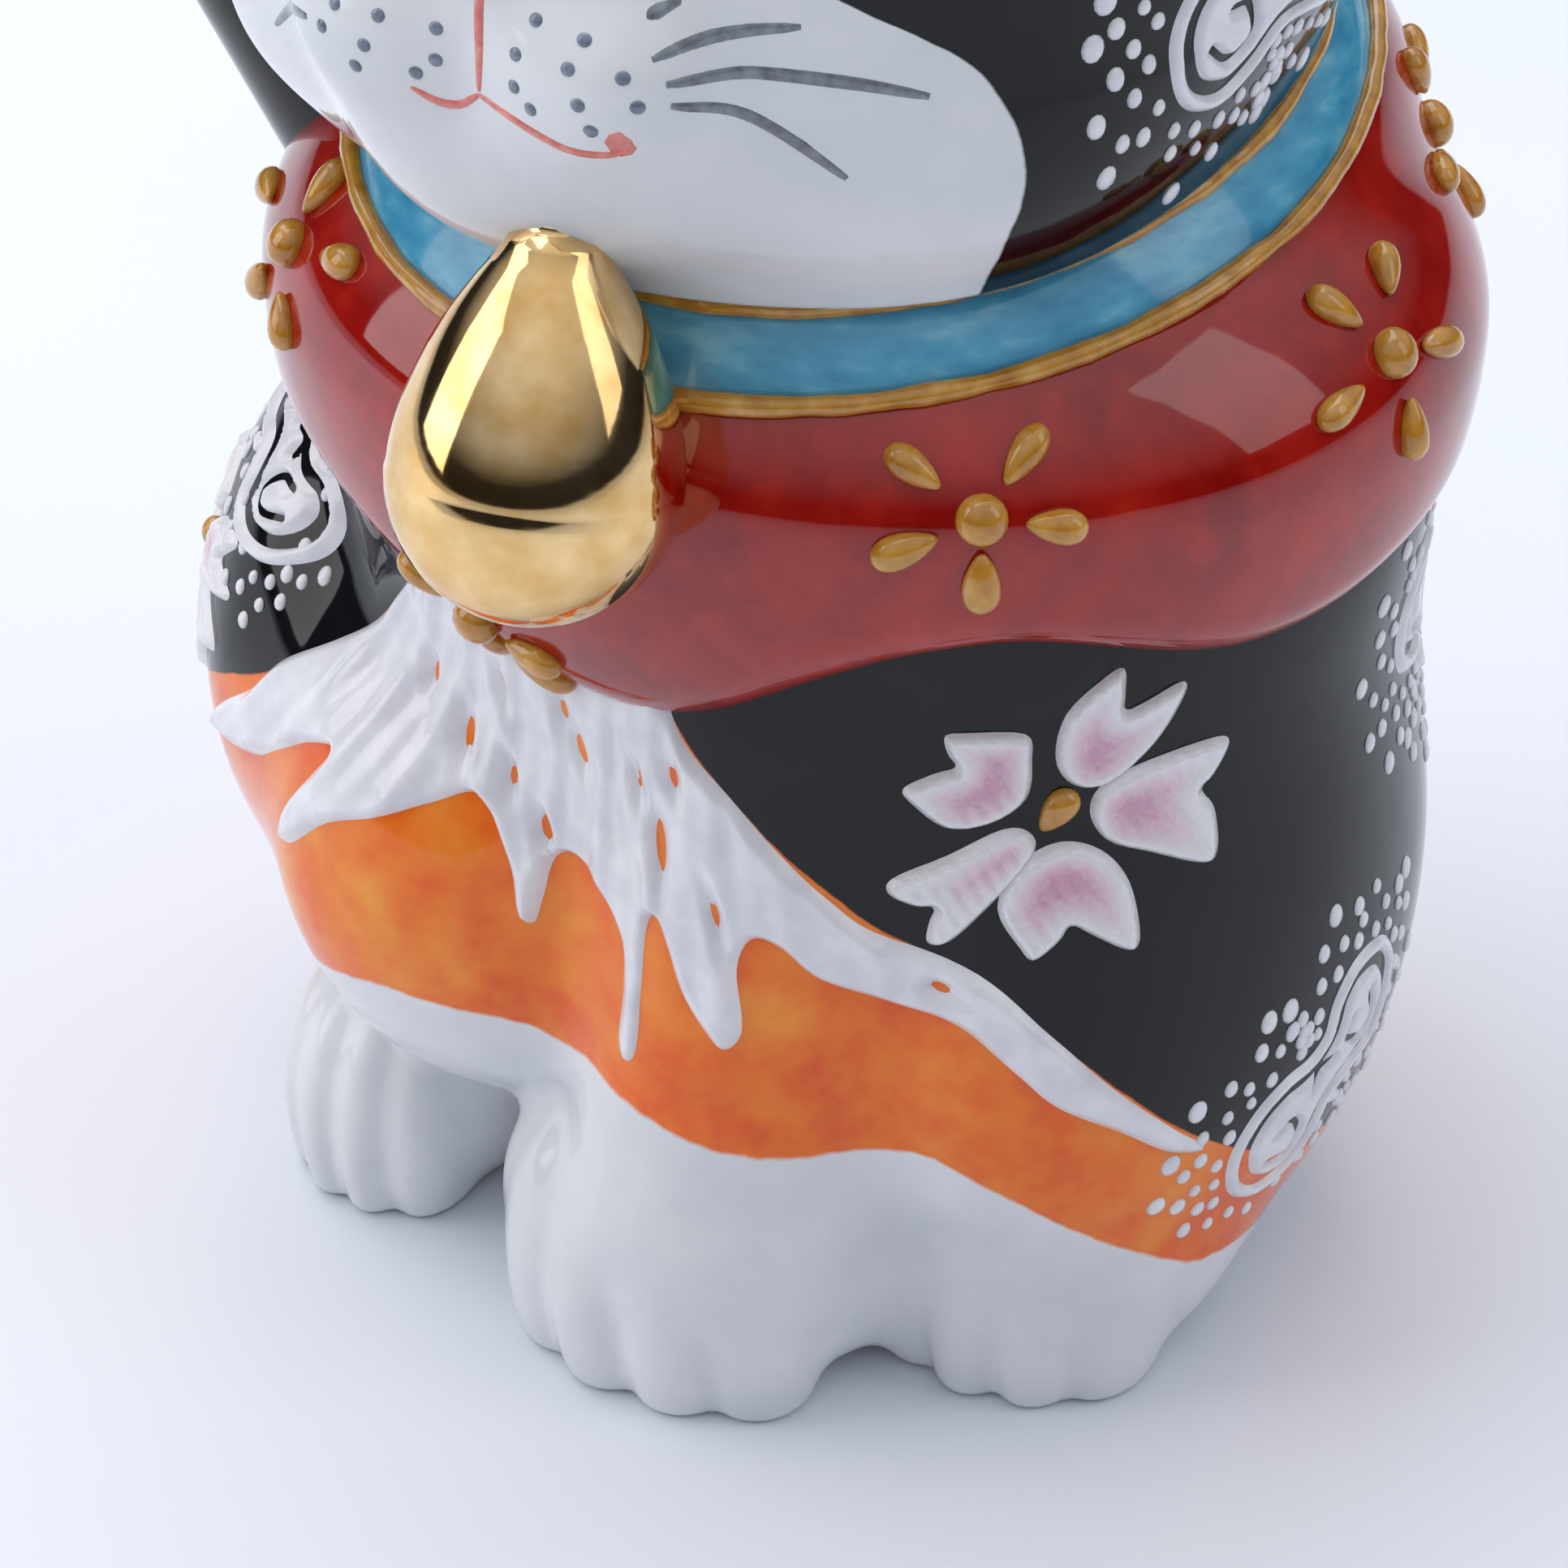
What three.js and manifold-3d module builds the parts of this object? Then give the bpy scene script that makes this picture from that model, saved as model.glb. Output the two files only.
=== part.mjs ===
// Beckoning cat figurine in hollow glazed porcelain: millimetres, +Z up, the cat faces -Y.
// The origin is the centre of the flat underside; the cat's left is +X, its raised arm is on -X.
import * as THREE from "three";
import Module from "manifold-3d";

const wasm = await Module();
wasm.setup();

// ---- driving dimensions (mm) ----
const SEAT_GAP = 0.3; // clearance between touching pieces
const WALL = 3.2; // cast porcelain wall
const BODY_WIDTH = 37.3; // half width of the shoulders
const BODY_DEPTH = 32; // half depth of the shoulders
const SHOULDER_Z = 64; // centre of the upper trunk
const NECK_Z = 82; // plane between trunk and head at the axis
const HAUNCH_X = 20.5; // haunch centres each side of the axis
const HEAD_X = -2.6; // the head sits towards the raised arm
const HEAD_Y = -4; // and forward of the collar's axis
const HEAD_Z = 107; // centre of the head
const HEAD_WIDTH = 36; // half width of the head
const HEAD_DEPTH = 33.5;
const HEAD_HEIGHT = 27;
const COLLAR_DIP = Math.tan((10.5 * Math.PI) / 180); // the collar drops to the front
const COLLAR_Y = -0.8; // its centre, behind or ahead of the body's axis
const COLLAR_LOW_Z = 83.3;
const COLLAR_LOW_R = 31.9;
const COLLAR_TOP_Z = 87.5;
const COLLAR_TOP_R = 28.6;
const COLLAR_OVAL = 1.033; // front to back against side to side
const CORD_R = 0.75; // trailed gold cord
const NECK_R = 27.6; // neck inside the collar
const BIB_Z = 69; // fullest height of the bib
const BIB_RX = COLLAR_LOW_R + 8.5; // the bib keeps its brim round the collar
const BIB_RY = COLLAR_LOW_R + 4.7;
const BIB_RZ = 19.5; // over its fullest height
const BIB_DROP = 34; // under it, before the hem is cut
const HEM = [ // height of the bib's wavy hem, by angle from the front in degrees
  [-180, 60], [-120, 61], [-90, 60], [-60, 60], [-45, 60], [-25, 56], [-3, 51.8], [8, 52],
  [17, 55.6], [26, 59.4], [38, 62], [48, 61.8], [60, 58.5], [73, 57], [90, 58], [120, 60], [180, 60],
];
const BELL_R = 8.9;
const BELL_X = 0.4;
const BELL_Z = 74.6;
const BELL_Y = -41;
const BELL_LEAN = (12 * Math.PI) / 180;
const ENAMEL = 1.1; // height of the raised white enamel
const FLOWER_RING = 5.9; // bead distance from a bib flower's centre
const BEAD_LENGTH = 2.0;
const BEAD_WIDTH = 1.45;
const FLOWERS = [[-49.6, 74.2], [-15, 58], [39.1, 72.3], [84.2, 75], [123, 71]]; // angle and height on the bib
const PETAL_LENGTH = 8.2;
const PETAL_WIDTH = 6.4;
const VENT_R = 5; // casting vent in the underside
const VENT_Y = 17;

// ---- helpers ----
const v3 = (x, y, z) => new THREE.Vector3(x, y, z);

function solid(geometry) {
  const g = geometry.index ? geometry.toNonIndexed() : geometry;
  const at = g.getAttribute("position").array;
  const seen = new Map();
  const points = [];
  const faces = [];
  for (let i = 0; i < at.length; i += 9) {
    const tri = [0, 3, 6].map((k) => {
      const p = [at[i + k], at[i + k + 1], at[i + k + 2]];
      const key = p.map((c) => Math.round(c * 2e4)).join();
      if (!seen.has(key)) {
        seen.set(key, points.length / 3);
        points.push(...p);
      }
      return seen.get(key);
    });
    if (tri[0] !== tri[1] && tri[1] !== tri[2] && tri[2] !== tri[0]) faces.push(...tri);
  }
  return new wasm.Manifold(new wasm.Mesh({
    numProp: 3,
    vertProperties: new Float32Array(points),
    triVerts: new Uint32Array(faces),
  }));
}

// An ellipsoid; grow makes it larger all round, so a neighbour cut with it keeps a gap.
function ball(centre, radii, grow = 0, around = 20) {
  const g = new THREE.SphereGeometry(1, around, Math.round(around / 2));
  g.rotateX(Math.PI / 2);
  g.scale(radii[0] + grow, radii[1] + grow, radii[2] + grow);
  return solid(g.translate(...centre));
}

// A tapered limb with round ends from a to b.
function limb(a, b, ra, rb, grow = 0, around = 16) {
  const from = v3(...a);
  const along = v3(...b).sub(from);
  const length = along.length();
  const profile = [];
  for (let k = 0; k <= 5; k++) {
    const t = (k / 5) * (Math.PI / 2);
    const r = ra + grow;
    profile.push(new THREE.Vector2(k ? r * Math.sin(t) : 0, -r * Math.cos(t)));
  }
  for (let k = 0; k <= 5; k++) {
    const t = (k / 5) * (Math.PI / 2);
    const r = rb + grow;
    profile.push(new THREE.Vector2(k < 5 ? r * Math.cos(t) : 0, length + r * Math.sin(t)));
  }
  const g = new THREE.LatheGeometry(profile, around);
  const turn = new THREE.Quaternion().setFromUnitVectors(v3(0, 1, 0), along.normalize());
  return solid(g.applyQuaternion(turn).translate(from.x, from.y, from.z));
}

const join = (...list) => wasm.Manifold.union(list);
const cut = (one, ...others) => wasm.Manifold.difference([one, ...others]);
const box = (w, d, h, x, y, z) => solid(new THREE.BoxGeometry(w, d, h).translate(x, y, z));
const below = (z) => box(300, 300, 200, 0, 0, z - 100);
const above = (z) => box(300, 300, 200, 0, 0, z + 100);

// Largest connected body of a cut, so a piece stays one closed solid.
function largest(one) {
  const bodies = one.decompose();
  if (!bodies.length) throw new Error("a cut left nothing");
  return bodies.reduce((a, b) => (b.volume() > a.volume() ? b : a));
}

// The collar's own frame: level rings dropped towards the front.
const dip = new THREE.Matrix4().set(
  1, 0, 0, 0,
  0, 1, 0, COLLAR_Y,
  0, COLLAR_DIP, 1, 0,
  0, 0, 0, 1,
);
const dipped = (geometry) => solid(geometry.applyMatrix4(dip));
function ring(radius, z, tube) {
  const g = new THREE.TorusGeometry(radius, tube, 6, 40);
  return dipped(g.scale(1, COLLAR_OVAL, 1).translate(0, 0, z));
}
function frustum(lowZ, lowR, topZ, topR, inner) {
  const profile = [[inner, lowZ], [lowR, lowZ], [topR, topZ], [inner, topZ], [inner, lowZ]];
  const g = new THREE.LatheGeometry(profile.map(([r, z]) => new THREE.Vector2(r, z)), 40);
  return dipped(g.rotateX(Math.PI / 2).scale(1, COLLAR_OVAL, 1));
}

// ---- forms shared between neighbours ----
const trunkForm = (grow = 0, around = 22) => join(
  ball([0, 1, 38], [33, 30, 46], grow, around),
  ball([0.8, 0.5, SHOULDER_Z - 4], [BODY_WIDTH, BODY_DEPTH, 32], grow, around),
  ball([HAUNCH_X, -1, 27], [18, 27, 28], grow, around),
  ball([-HAUNCH_X - 8, 0, 35], [17.5, 24, 25], grow, around),
  ball([-15, -16, 33], [17, 18, 20], grow, around),
);
const forelegForm = (grow = 0) => limb([7, -19, 50], [4.5, -26, 19], 12, 10.5, grow);
const headForm = (grow = 0, around = 22) => join(
  ball([HEAD_X, HEAD_Y, HEAD_Z], [HEAD_WIDTH, HEAD_DEPTH, HEAD_HEIGHT], grow, around),
  frustum(COLLAR_LOW_Z - grow, NECK_R + grow, HEAD_Z - 10, NECK_R + grow, 0),
  ...[-1, 1].map((side) => ball([HEAD_X + side * 14, HEAD_Y - 12, HEAD_Z - 13], [17, 17, 12], grow, 16)),
  ...[-1, 1].map((side) => ball([HEAD_X + side * 7.5, HEAD_Y - 28, HEAD_Z - 6.5], [9.5, 8, 8], grow, 16)),
);

// Paw with four toes, flat underneath.
function pawForm([x, y], [rx, ry, rz], toes, grow = 0) {
  const parts = [ball([x, y, rz * 0.8], [rx, ry, rz], grow, 16)];
  for (let k = 0; k < toes; k++) {
    const a = ((k + 0.5) / toes - 0.5) * 1.9;
    const tx = x + rx * 0.78 * Math.sin(a);
    const ty = y - ry * 0.8 * Math.cos(a);
    parts.push(ball([tx, ty, rz * 0.5], [rx * 0.3, ry * 0.34, rz * 0.62], grow, 8));
  }
  return cut(join(...parts), below(-grow));
}
const forepawForm = (grow = 0) => pawForm([1.7, -25.5], [14.5, 13, 12.5], 4, grow);
const footRightForm = (grow = 0) => pawForm([-25.2, -18], [10.5, 12, 11], 4, grow);
const footLeftForm = (grow = 0) => pawForm([21.5, -12], [12.2, 14, 11], 4, grow);

// Bib: a full cape with a wavy hem; its surface is used again to seat the beads.
const bibHalf = (z) => (z > BIB_Z ? BIB_RZ : BIB_DROP);
const bibRadius = (z) => Math.sqrt(Math.max(0, 1 - ((z - BIB_Z) / bibHalf(z)) ** 2));
function hemCutter(grow = 0) {
  const steps = 48;
  const positions = [];
  const hem = (k) => {
    const a = ((((k / steps) * 360 + 180) % 360) + 360) % 360 - 180;
    const i = Math.max(1, HEM.findIndex(([angle]) => angle >= a));
    const [[a0, z0], [a1, z1]] = [HEM[i - 1], HEM[i]];
    return z0 + ((z1 - z0) * (a - a0)) / (a1 - a0) - grow;
  };
  const rim = (k, z) => {
    const a = (k / steps) * 2 * Math.PI;
    return [60 * Math.sin(a), -60 * Math.cos(a), z];
  };
  for (let k = 0; k < steps; k++) {
    const a = rim(k, hem(k));
    const b = rim(k + 1, hem(k + 1));
    const c = rim(k, 0);
    const d = rim(k + 1, 0);
    const top = [0, 0, 60];
    positions.push(...top, ...a, ...b, ...a, ...c, ...d, ...a, ...d, ...b, 0, 0, 0, ...d, ...c);
  }
  const g = new THREE.BufferGeometry();
  g.setAttribute("position", new THREE.Float32BufferAttribute(positions, 3));
  return solid(g);
}
const bibForm = (grow = 0) => join(
  ball([0.3, 0, BIB_Z], [BIB_RX, BIB_RY, BIB_RZ], grow, 36),
  ball([0.3, 6, BIB_Z + 10], [COLLAR_LOW_R + 0.6, BIB_RY - 5, BIB_RZ - 2.5], grow, 24),
  cut(ball([0.3, 0, BIB_Z], [BIB_RX, BIB_RY, BIB_DROP], grow, 36), above(BIB_Z), hemCutter(grow)),
);

// Point and outward direction on the bib at an angle round the axis and a height.
function onBib(degrees, z) {
  const a = (degrees * Math.PI) / 180;
  const f = bibRadius(z);
  const at = v3(BIB_RX * f * Math.sin(a), -BIB_RY * f * Math.cos(a), z);
  const out = v3(at.x / BIB_RX ** 2, at.y / BIB_RY ** 2, (z - BIB_Z) / bibHalf(z) ** 2).normalize();
  return { at, out };
}

const earForm = (side, grow = 0) => {
  const g = new THREE.ConeGeometry(13.5 + grow, 28 + grow, 18);
  g.rotateX(Math.PI / 2).scale(1, 0.58, 1).rotateY(side * 0.3);
  return solid(g.translate(HEAD_X + side * 19.5, HEAD_Y, HEAD_Z + 27));
};
const armForm = (grow = 0) => join(
  limb([-28, -2, 72], [-46, -6, 100], 11, 9.5, grow),
  limb([-46, -6, 100], [-48, -11, 123], 9.5, 8.5, grow),
);
const raisedPawForm = (grow = 0) => join(
  ball([-47.5, -14, 129], [9.5, 10.5, 10], grow, 16),
  ...[-1.5, -0.5, 0.5, 1.5].map((k) => ball([-47.5 + k * 4, -22, 126], [2.6, 3.6, 4.4], grow, 8)),
);
const tailForm = (grow = 0) => limb([8, 26, 10], [16, 26.5, 30], 8, 6.5, grow);

// ---- the assembly ----
const cat = new THREE.Group();
cat.name = "beckoning_cat";

function add(name, body, colour, roughness = 0.12, metalness = 0) {
  if (Math.abs(body.volume()) < 0.5) throw new Error(`${name} is empty`);
  const m = body.simplify(0.09).getMesh();
  const g = new THREE.BufferGeometry();
  const at = new Float32Array((m.vertProperties.length / m.numProp) * 3);
  for (let i = 0; i < at.length / 3; i++)
    for (let k = 0; k < 3; k++) at[3 * i + k] = m.vertProperties[i * m.numProp + k];
  g.setAttribute("position", new THREE.BufferAttribute(at, 3));
  g.setIndex(Array.from(m.triVerts));
  const mesh = new THREE.Mesh(g.toNonIndexed(), new THREE.MeshStandardMaterial({
    color: colour, roughness, metalness,
  }));
  mesh.geometry.computeVertexNormals();
  mesh.name = name;
  cat.add(mesh);
}

const BLACK = 0x141518;
const WHITE = 0xf2f3f4;
const RED = 0x9c1712;
const BLUE = 0x5aaccb;
const OCHRE = 0xc28a24;
const GOLD = 0xd9a441;

const cordLow = ring(COLLAR_LOW_R, COLLAR_LOW_Z, CORD_R);
const cordTop = ring(COLLAR_TOP_R, COLLAR_TOP_Z, CORD_R);
const cordLowRoom = ring(COLLAR_LOW_R, COLLAR_LOW_Z, CORD_R + SEAT_GAP);
const cordTopRoom = ring(COLLAR_TOP_R, COLLAR_TOP_Z, CORD_R + SEAT_GAP);

// Trunk and head: two hollow castings that meet at the neck under the collar.
const neckBore = ball([0, 0, NECK_Z], [22, 22, 14], 0, 18);
const vent = solid(new THREE.CylinderGeometry(VENT_R, VENT_R, 20, 24)
  .rotateX(Math.PI / 2).translate(0, VENT_Y, 0));
const trunkCavity = cut(trunkForm(-WALL, 12), below(WALL));
const trunk = cut(trunkForm(), trunkCavity, neckBore, vent, below(0), above(NECK_Z - SEAT_GAP / 2));
add("torso_shell", largest(trunk), BLACK);
const headCavity = join(
  ball([HEAD_X, HEAD_Y, HEAD_Z], [HEAD_WIDTH - WALL, HEAD_DEPTH - WALL, HEAD_HEIGHT - WALL], 0, 16), neckBore);
const head = cut(headForm(), headCavity, below(NECK_Z + SEAT_GAP / 2), cordTopRoom,
  earForm(1, SEAT_GAP), earForm(-1, SEAT_GAP));
add("head_shell", largest(head), WHITE);
for (const [name, side] of [["ear_right", -1], ["ear_left", 1]])
  add(name, largest(cut(earForm(side), ball([HEAD_X, HEAD_Y, HEAD_Z], [HEAD_WIDTH, HEAD_DEPTH, HEAD_HEIGHT], SEAT_GAP - 2, 22))), BLACK);

// Limbs: each is cut clear of the trunk and of the piece it meets.
const trunkRoom = trunkForm(SEAT_GAP);
add("foreleg_left", largest(cut(forelegForm(), trunkRoom, forepawForm(SEAT_GAP))), BLACK);
add("forepaw_left", largest(cut(forepawForm(), trunkRoom)), WHITE);
add("hind_foot_right", largest(cut(footRightForm(), trunkRoom, forepawForm(SEAT_GAP))), WHITE);
add("hind_foot_left", largest(cut(footLeftForm(), trunkRoom, forepawForm(SEAT_GAP))), WHITE);
add("tail", largest(cut(tailForm(), trunkRoom)), BLACK);
const bibRoom = bibForm(SEAT_GAP);
const collarRoom = join(cordLowRoom, cordTopRoom, frustum(COLLAR_LOW_Z - SEAT_GAP,
  COLLAR_LOW_R + 2 * SEAT_GAP, COLLAR_TOP_Z + SEAT_GAP, COLLAR_TOP_R + 2 * SEAT_GAP, 0));
add("raised_arm", largest(cut(armForm(), trunkRoom, bibRoom, collarRoom,
  raisedPawForm(SEAT_GAP), headForm(SEAT_GAP))), BLACK);
add("raised_paw", largest(cut(raisedPawForm(), headForm(SEAT_GAP))), WHITE);

// Bib, collar band and its two gold cords.
const aboveCollar = dipped(new THREE.BoxGeometry(200, 200, 100).translate(0, 0, COLLAR_LOW_Z + 50));
const bib = cut(bibForm(), trunkRoom, hemCutter(), aboveCollar, cordLowRoom, headForm(SEAT_GAP),
  neckBore, ball([0, 0, NECK_Z], [22.5, 22.5, 14.5], 0, 18));
add("bib", largest(bib), RED);
const band = cut(frustum(COLLAR_LOW_Z + SEAT_GAP, COLLAR_LOW_R, COLLAR_TOP_Z, COLLAR_TOP_R, 8),
  headForm(SEAT_GAP), trunkRoom, cordLowRoom, cordTopRoom, ball([0, 0, NECK_Z], [22.5, 22.5, 14.5]));
add("collar_band", largest(band), BLUE);
add("collar_cord_lower", cordLow, OCHRE);
add("collar_cord_upper", cordTop, OCHRE);

// Bell: a full lower bowl with a crown that lies back on the collar.
const onBell = (height) => [BELL_X, BELL_Y + height * Math.sin(BELL_LEAN), BELL_Z + height * Math.cos(BELL_LEAN)];
const bellForm = (grow = 0) => ball(onBell(0), [BELL_R, BELL_R, BELL_R + 0.2], grow, 20);
const crownForm = (grow = 0) => limb(onBell(4.6), onBell(12.8), 7.6, 2.8, grow);
const bellRoom = join(bibRoom, collarRoom);
add("bell", largest(cut(bellForm(), bellRoom)), GOLD, 0.08, 1);
add("bell_crown", largest(cut(crownForm(), bellRoom, bellForm(SEAT_GAP), headForm(SEAT_GAP))), GOLD, 0.08, 1);

// White impasto enamel: a drift under the bib with drips, running down the left flank.
const driftEdge = [
  [-40, 34], [-33, 39], [-28, 44], [-22, 52], [-16, 62], [1, 62], [5, 52], [11, 45.5], [17, 40],
  [22, 37.8], [27, 33.5], [33, 26], [37, 21.5], [33.5, 22], [31, 25.5], [25.5, 30.5], [21.5, 34], [14.5, 36],
  [10.5, 39], [9.3, 31.5], [7, 32], [4, 38], [2.3, 28], [0.6, 28], [0, 37], [-4, 39.5], [-7, 34], [-9, 39.5],
  [-12, 42], [-19, 37], [-24, 32.5], [-21, 41], [-28, 36], [-36, 31.5],
];
const driftShape = new THREE.Shape(driftEdge.map(([x, z]) => new THREE.Vector2(x, z)));
const driftColumn = solid(new THREE.ExtrudeGeometry(driftShape, { depth: 60, bevelEnabled: false })
  .rotateX(Math.PI / 2));
const underEnamel = (grow) => join(trunkForm(grow), forelegForm(grow));
const drift = cut(underEnamel(SEAT_GAP + ENAMEL), underEnamel(SEAT_GAP));
add("snow_drift_enamel", largest(cut(wasm.Manifold.intersection([drift, driftColumn]), bibRoom,
  forepawForm(SEAT_GAP), footLeftForm(SEAT_GAP), footRightForm(SEAT_GAP))), WHITE, 0.25);

// Cherry blossom on the left flank: five notched petals round an ochre bead.
const blossomAt = v3(26 * (BODY_WIDTH / 37.3), -22.7 * (BODY_DEPTH / 32), 48.5); // rides out with the flank
const blossomOut = v3(0.58, -0.81, 0.11).normalize();
function onto(geometry, at, out, spin) {
  const side = v3(0, 0, 1).cross(out).normalize();
  const up = out.clone().cross(side);
  const m = new THREE.Matrix4().makeBasis(side, up, out).setPosition(at);
  return solid(geometry.rotateZ(spin).applyMatrix4(m));
}
function petalGeometry() {
  const l = PETAL_LENGTH;
  const w = PETAL_WIDTH / 2;
  const s = new THREE.Shape();
  s.moveTo(0, 1.9);
  s.bezierCurveTo(w * 0.8, 2.6, w * 1.25, l * 0.75, w * 0.62, l + 1.9);
  s.lineTo(0, l + 0.1);
  s.lineTo(-w * 0.62, l + 1.9);
  s.bezierCurveTo(-w * 1.25, l * 0.75, -w * 0.8, 2.6, 0, 1.9);
  return new THREE.ExtrudeGeometry(s, { depth: 6, bevelEnabled: false, curveSegments: 6 });
}
const petalLift = cut(drift, driftColumn);
for (let k = 0; k < 5; k++) {
  const petal = onto(petalGeometry().translate(0, 0, -3), blossomAt, blossomOut,
    (k / 5) * 2 * Math.PI + 0.35);
  add(`blossom_petal_${k + 1}`, largest(wasm.Manifold.intersection([petal, petalLift])), 0xf0d6df, 0.25);
}
const bloomBead = onto(new THREE.SphereGeometry(1.5, 8, 6), blossomAt, blossomOut, 0);
add("blossom_bead", largest(cut(bloomBead, underEnamel(SEAT_GAP))), OCHRE);

// Bib flowers: five teardrop beads round a sixth, each seated on the bib.
function bead(at, out, spin, length) {
  const g = new THREE.SphereGeometry(1, 8, 5).rotateX(Math.PI / 2);
  g.scale(BEAD_WIDTH, length, BEAD_WIDTH);
  return cut(onto(g, at, out, spin), bibRoom, underEnamel(SEAT_GAP + ENAMEL + SEAT_GAP),
    bellForm(SEAT_GAP), collarRoom);
}
FLOWERS.forEach(([angle, height], i) => {
  const name = `bib_flower_${"abcde"[i]}`;
  const { at, out } = onBib(angle, height);
  add(`${name}_core`, largest(bead(at, out, 0, BEAD_WIDTH)), OCHRE);
  for (let k = 0; k < 5; k++) {
    const a = (k / 5) * 2 * Math.PI + 0.5;
    const dz = FLOWER_RING * Math.cos(a) * 0.8;
    const sideways = (FLOWER_RING * Math.sin(a) * 180) / Math.PI / (BIB_RX * bibRadius(height + dz));
    const spot = onBib(angle - sideways, Math.min(height + dz, COLLAR_LOW_Z - 3));
    add(`${name}_bead_${k + 1}`, largest(bead(spot.at, spot.out, a, BEAD_LENGTH)), OCHRE);
  }
});

export default cat;
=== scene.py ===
"""Beckoning cat figurine in glazed porcelain, hand painted in raised enamel. Lengths in mm until
a mesh is made; the cat faces -Y, its raised arm is on -X and the table is z = 0."""
import math

import bpy
import numpy as np
import openvdb as vdb
from mathutils import Matrix, Vector


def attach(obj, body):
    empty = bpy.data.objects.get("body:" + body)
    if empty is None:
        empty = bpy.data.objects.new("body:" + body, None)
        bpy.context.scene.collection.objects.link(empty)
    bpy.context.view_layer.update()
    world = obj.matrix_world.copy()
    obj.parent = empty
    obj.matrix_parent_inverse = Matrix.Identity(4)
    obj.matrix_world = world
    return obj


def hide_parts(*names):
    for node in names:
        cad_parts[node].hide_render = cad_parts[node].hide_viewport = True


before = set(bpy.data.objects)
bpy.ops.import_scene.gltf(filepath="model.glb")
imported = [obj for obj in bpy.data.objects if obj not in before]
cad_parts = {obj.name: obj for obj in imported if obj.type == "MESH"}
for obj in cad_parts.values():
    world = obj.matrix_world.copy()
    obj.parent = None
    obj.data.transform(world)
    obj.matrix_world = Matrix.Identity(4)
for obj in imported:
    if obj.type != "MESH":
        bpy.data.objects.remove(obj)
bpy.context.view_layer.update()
MM = 0.001
ROUND = 33.0  # radius used to unroll the body: around = ROUND * angle from the front
COLLAR_DIP = math.tan(math.radians(10.5))  # the collar drops to the front
COLLAR_Y = -0.8
COLLAR_Z = 83.3
COLLAR_RISE = 4.2  # from the lower cord to the upper one
COLLAR_LOW = (31.9, 32.9)
COLLAR_TOP = (28.6, 29.6)
BIB_MID = (0.3, 0.0, 69.0)
BIB_SIZE = (40.2, 36.5, 19.4)
BIB_DROP = 34.0  # half height under its fullest ring
BIB_BACK = ((0.3, 6, 79), (32.2, 31.3, 17))  # the raised back
BELL_MID = (0.4, -41.0, 74.6)
BELL_LEAN = math.radians(12)
BELL_R = 8.9
BELL_SPLIT = 9.0  # height on its axis where its two castings meet
CAMERA_TURN, CAMERA_TILT = math.radians(29.5), math.radians(34.2)
CAMERA_AIM, CAMERA_FAR = (-6.1, 0, 26.4), 380
VENT_Y, VENT_R, VENT_DEPTH = 17, 5, 14  # casting vent in the underside
HEAD_SHIFT = (-2.6, -4.0)  # the head sits forward and towards the raised arm
HEAD_TURN = math.radians(2)
FACE_X = 1.0  # the features are painted a little to the cat's left
SKIN_VOXEL = 0.55
ENAMEL_COARSE = 1  # how much coarser the enamel layers are made for a first look
ENAMEL_RISE = 0.62  # height of a brushed layer
DOT_RISE = 0.3


# ---- solid forms, as distances in mm to their surface ----
def egg(p, mid, size):
    q = [(p[i] - mid[i]) / size[i] for i in range(3)]
    far = np.sqrt(q[0] ** 2 + q[1] ** 2 + q[2] ** 2)
    steep = np.sqrt(sum((q[i] / size[i]) ** 2 for i in range(3)))
    return far * (far - 1) / np.maximum(steep, 1e-6)


def limb(p, a, b, ra, rb):
    ab = [b[i] - a[i] for i in range(3)]
    length = sum(c * c for c in ab)
    t = np.clip(sum((p[i] - a[i]) * ab[i] for i in range(3)) / length, 0, 1)
    gap = np.sqrt(sum((p[i] - a[i] - t * ab[i]) ** 2 for i in range(3)))
    return gap - (ra + (rb - ra) * t)


def blend(a, b, k):
    t = np.clip(0.5 + 0.5 * (b - a) / k, 0, 1)
    return b * (1 - t) + a * t - k * t * (1 - t)


def carve(a, b, k):
    return -blend(-a, -b, k)


def around(p):
    return ROUND * np.arctan2(p[0], -p[1])


def line(x, knots):
    return np.interp(x, [k[0] for k in knots], [k[1] for k in knots])


def smooth_line(x, knots, soft):
    """The knots' line, rounded off over a width."""
    return sum(line(x + d * soft, knots) for d in (-1, -0.5, 0, 0.5, 1)) / 5


def trunk(p):
    d = egg(p, (0, 1, 38), (33, 30, 46))
    d = blend(d, egg(p, (0.8, 0.5, 60), (37.3, 32, 32)), 6)
    d = blend(d, egg(p, (20.5, -1, 27), (18, 27, 28)), 10)
    d = blend(d, egg(p, (-29.8, 0, 35), (17.5, 24, 25)), 4)
    return blend(d, egg(p, (-16, -16, 31), (18, 18, 20)), 5)


def foreleg(p):
    return limb(p, (7, -19, 50), (4.5, -26.5, 14), 12, 10.5)


def paw(p, mid, size, toes, spread, turn=0.0):
    """A standing paw: a rounded back with toes parted by soft grooves."""
    d = egg(p, mid, size)
    for k in range(toes):
        a = ((k + 0.5) / toes - 0.5) * spread + turn
        at = (mid[0] + size[0] * 0.7 * math.sin(a), mid[1] - size[1] * 0.66 * math.cos(a), mid[2] * 0.74)
        d = blend(d, egg(p, at, (size[0] * 0.31, size[1] * 0.46, size[2] * 0.88)), 1.0)
    return d


def forepaw(p):
    return paw(p, (1.7, -24.5, 9.0), (14.5, 11.0, 11.5), 4, 2.1)


def hind_right(p):
    return paw(p, (-25.2, -16.5, 8.0), (9.6, 10.5, 10.5), 4, 2.0, -0.15)


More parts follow.
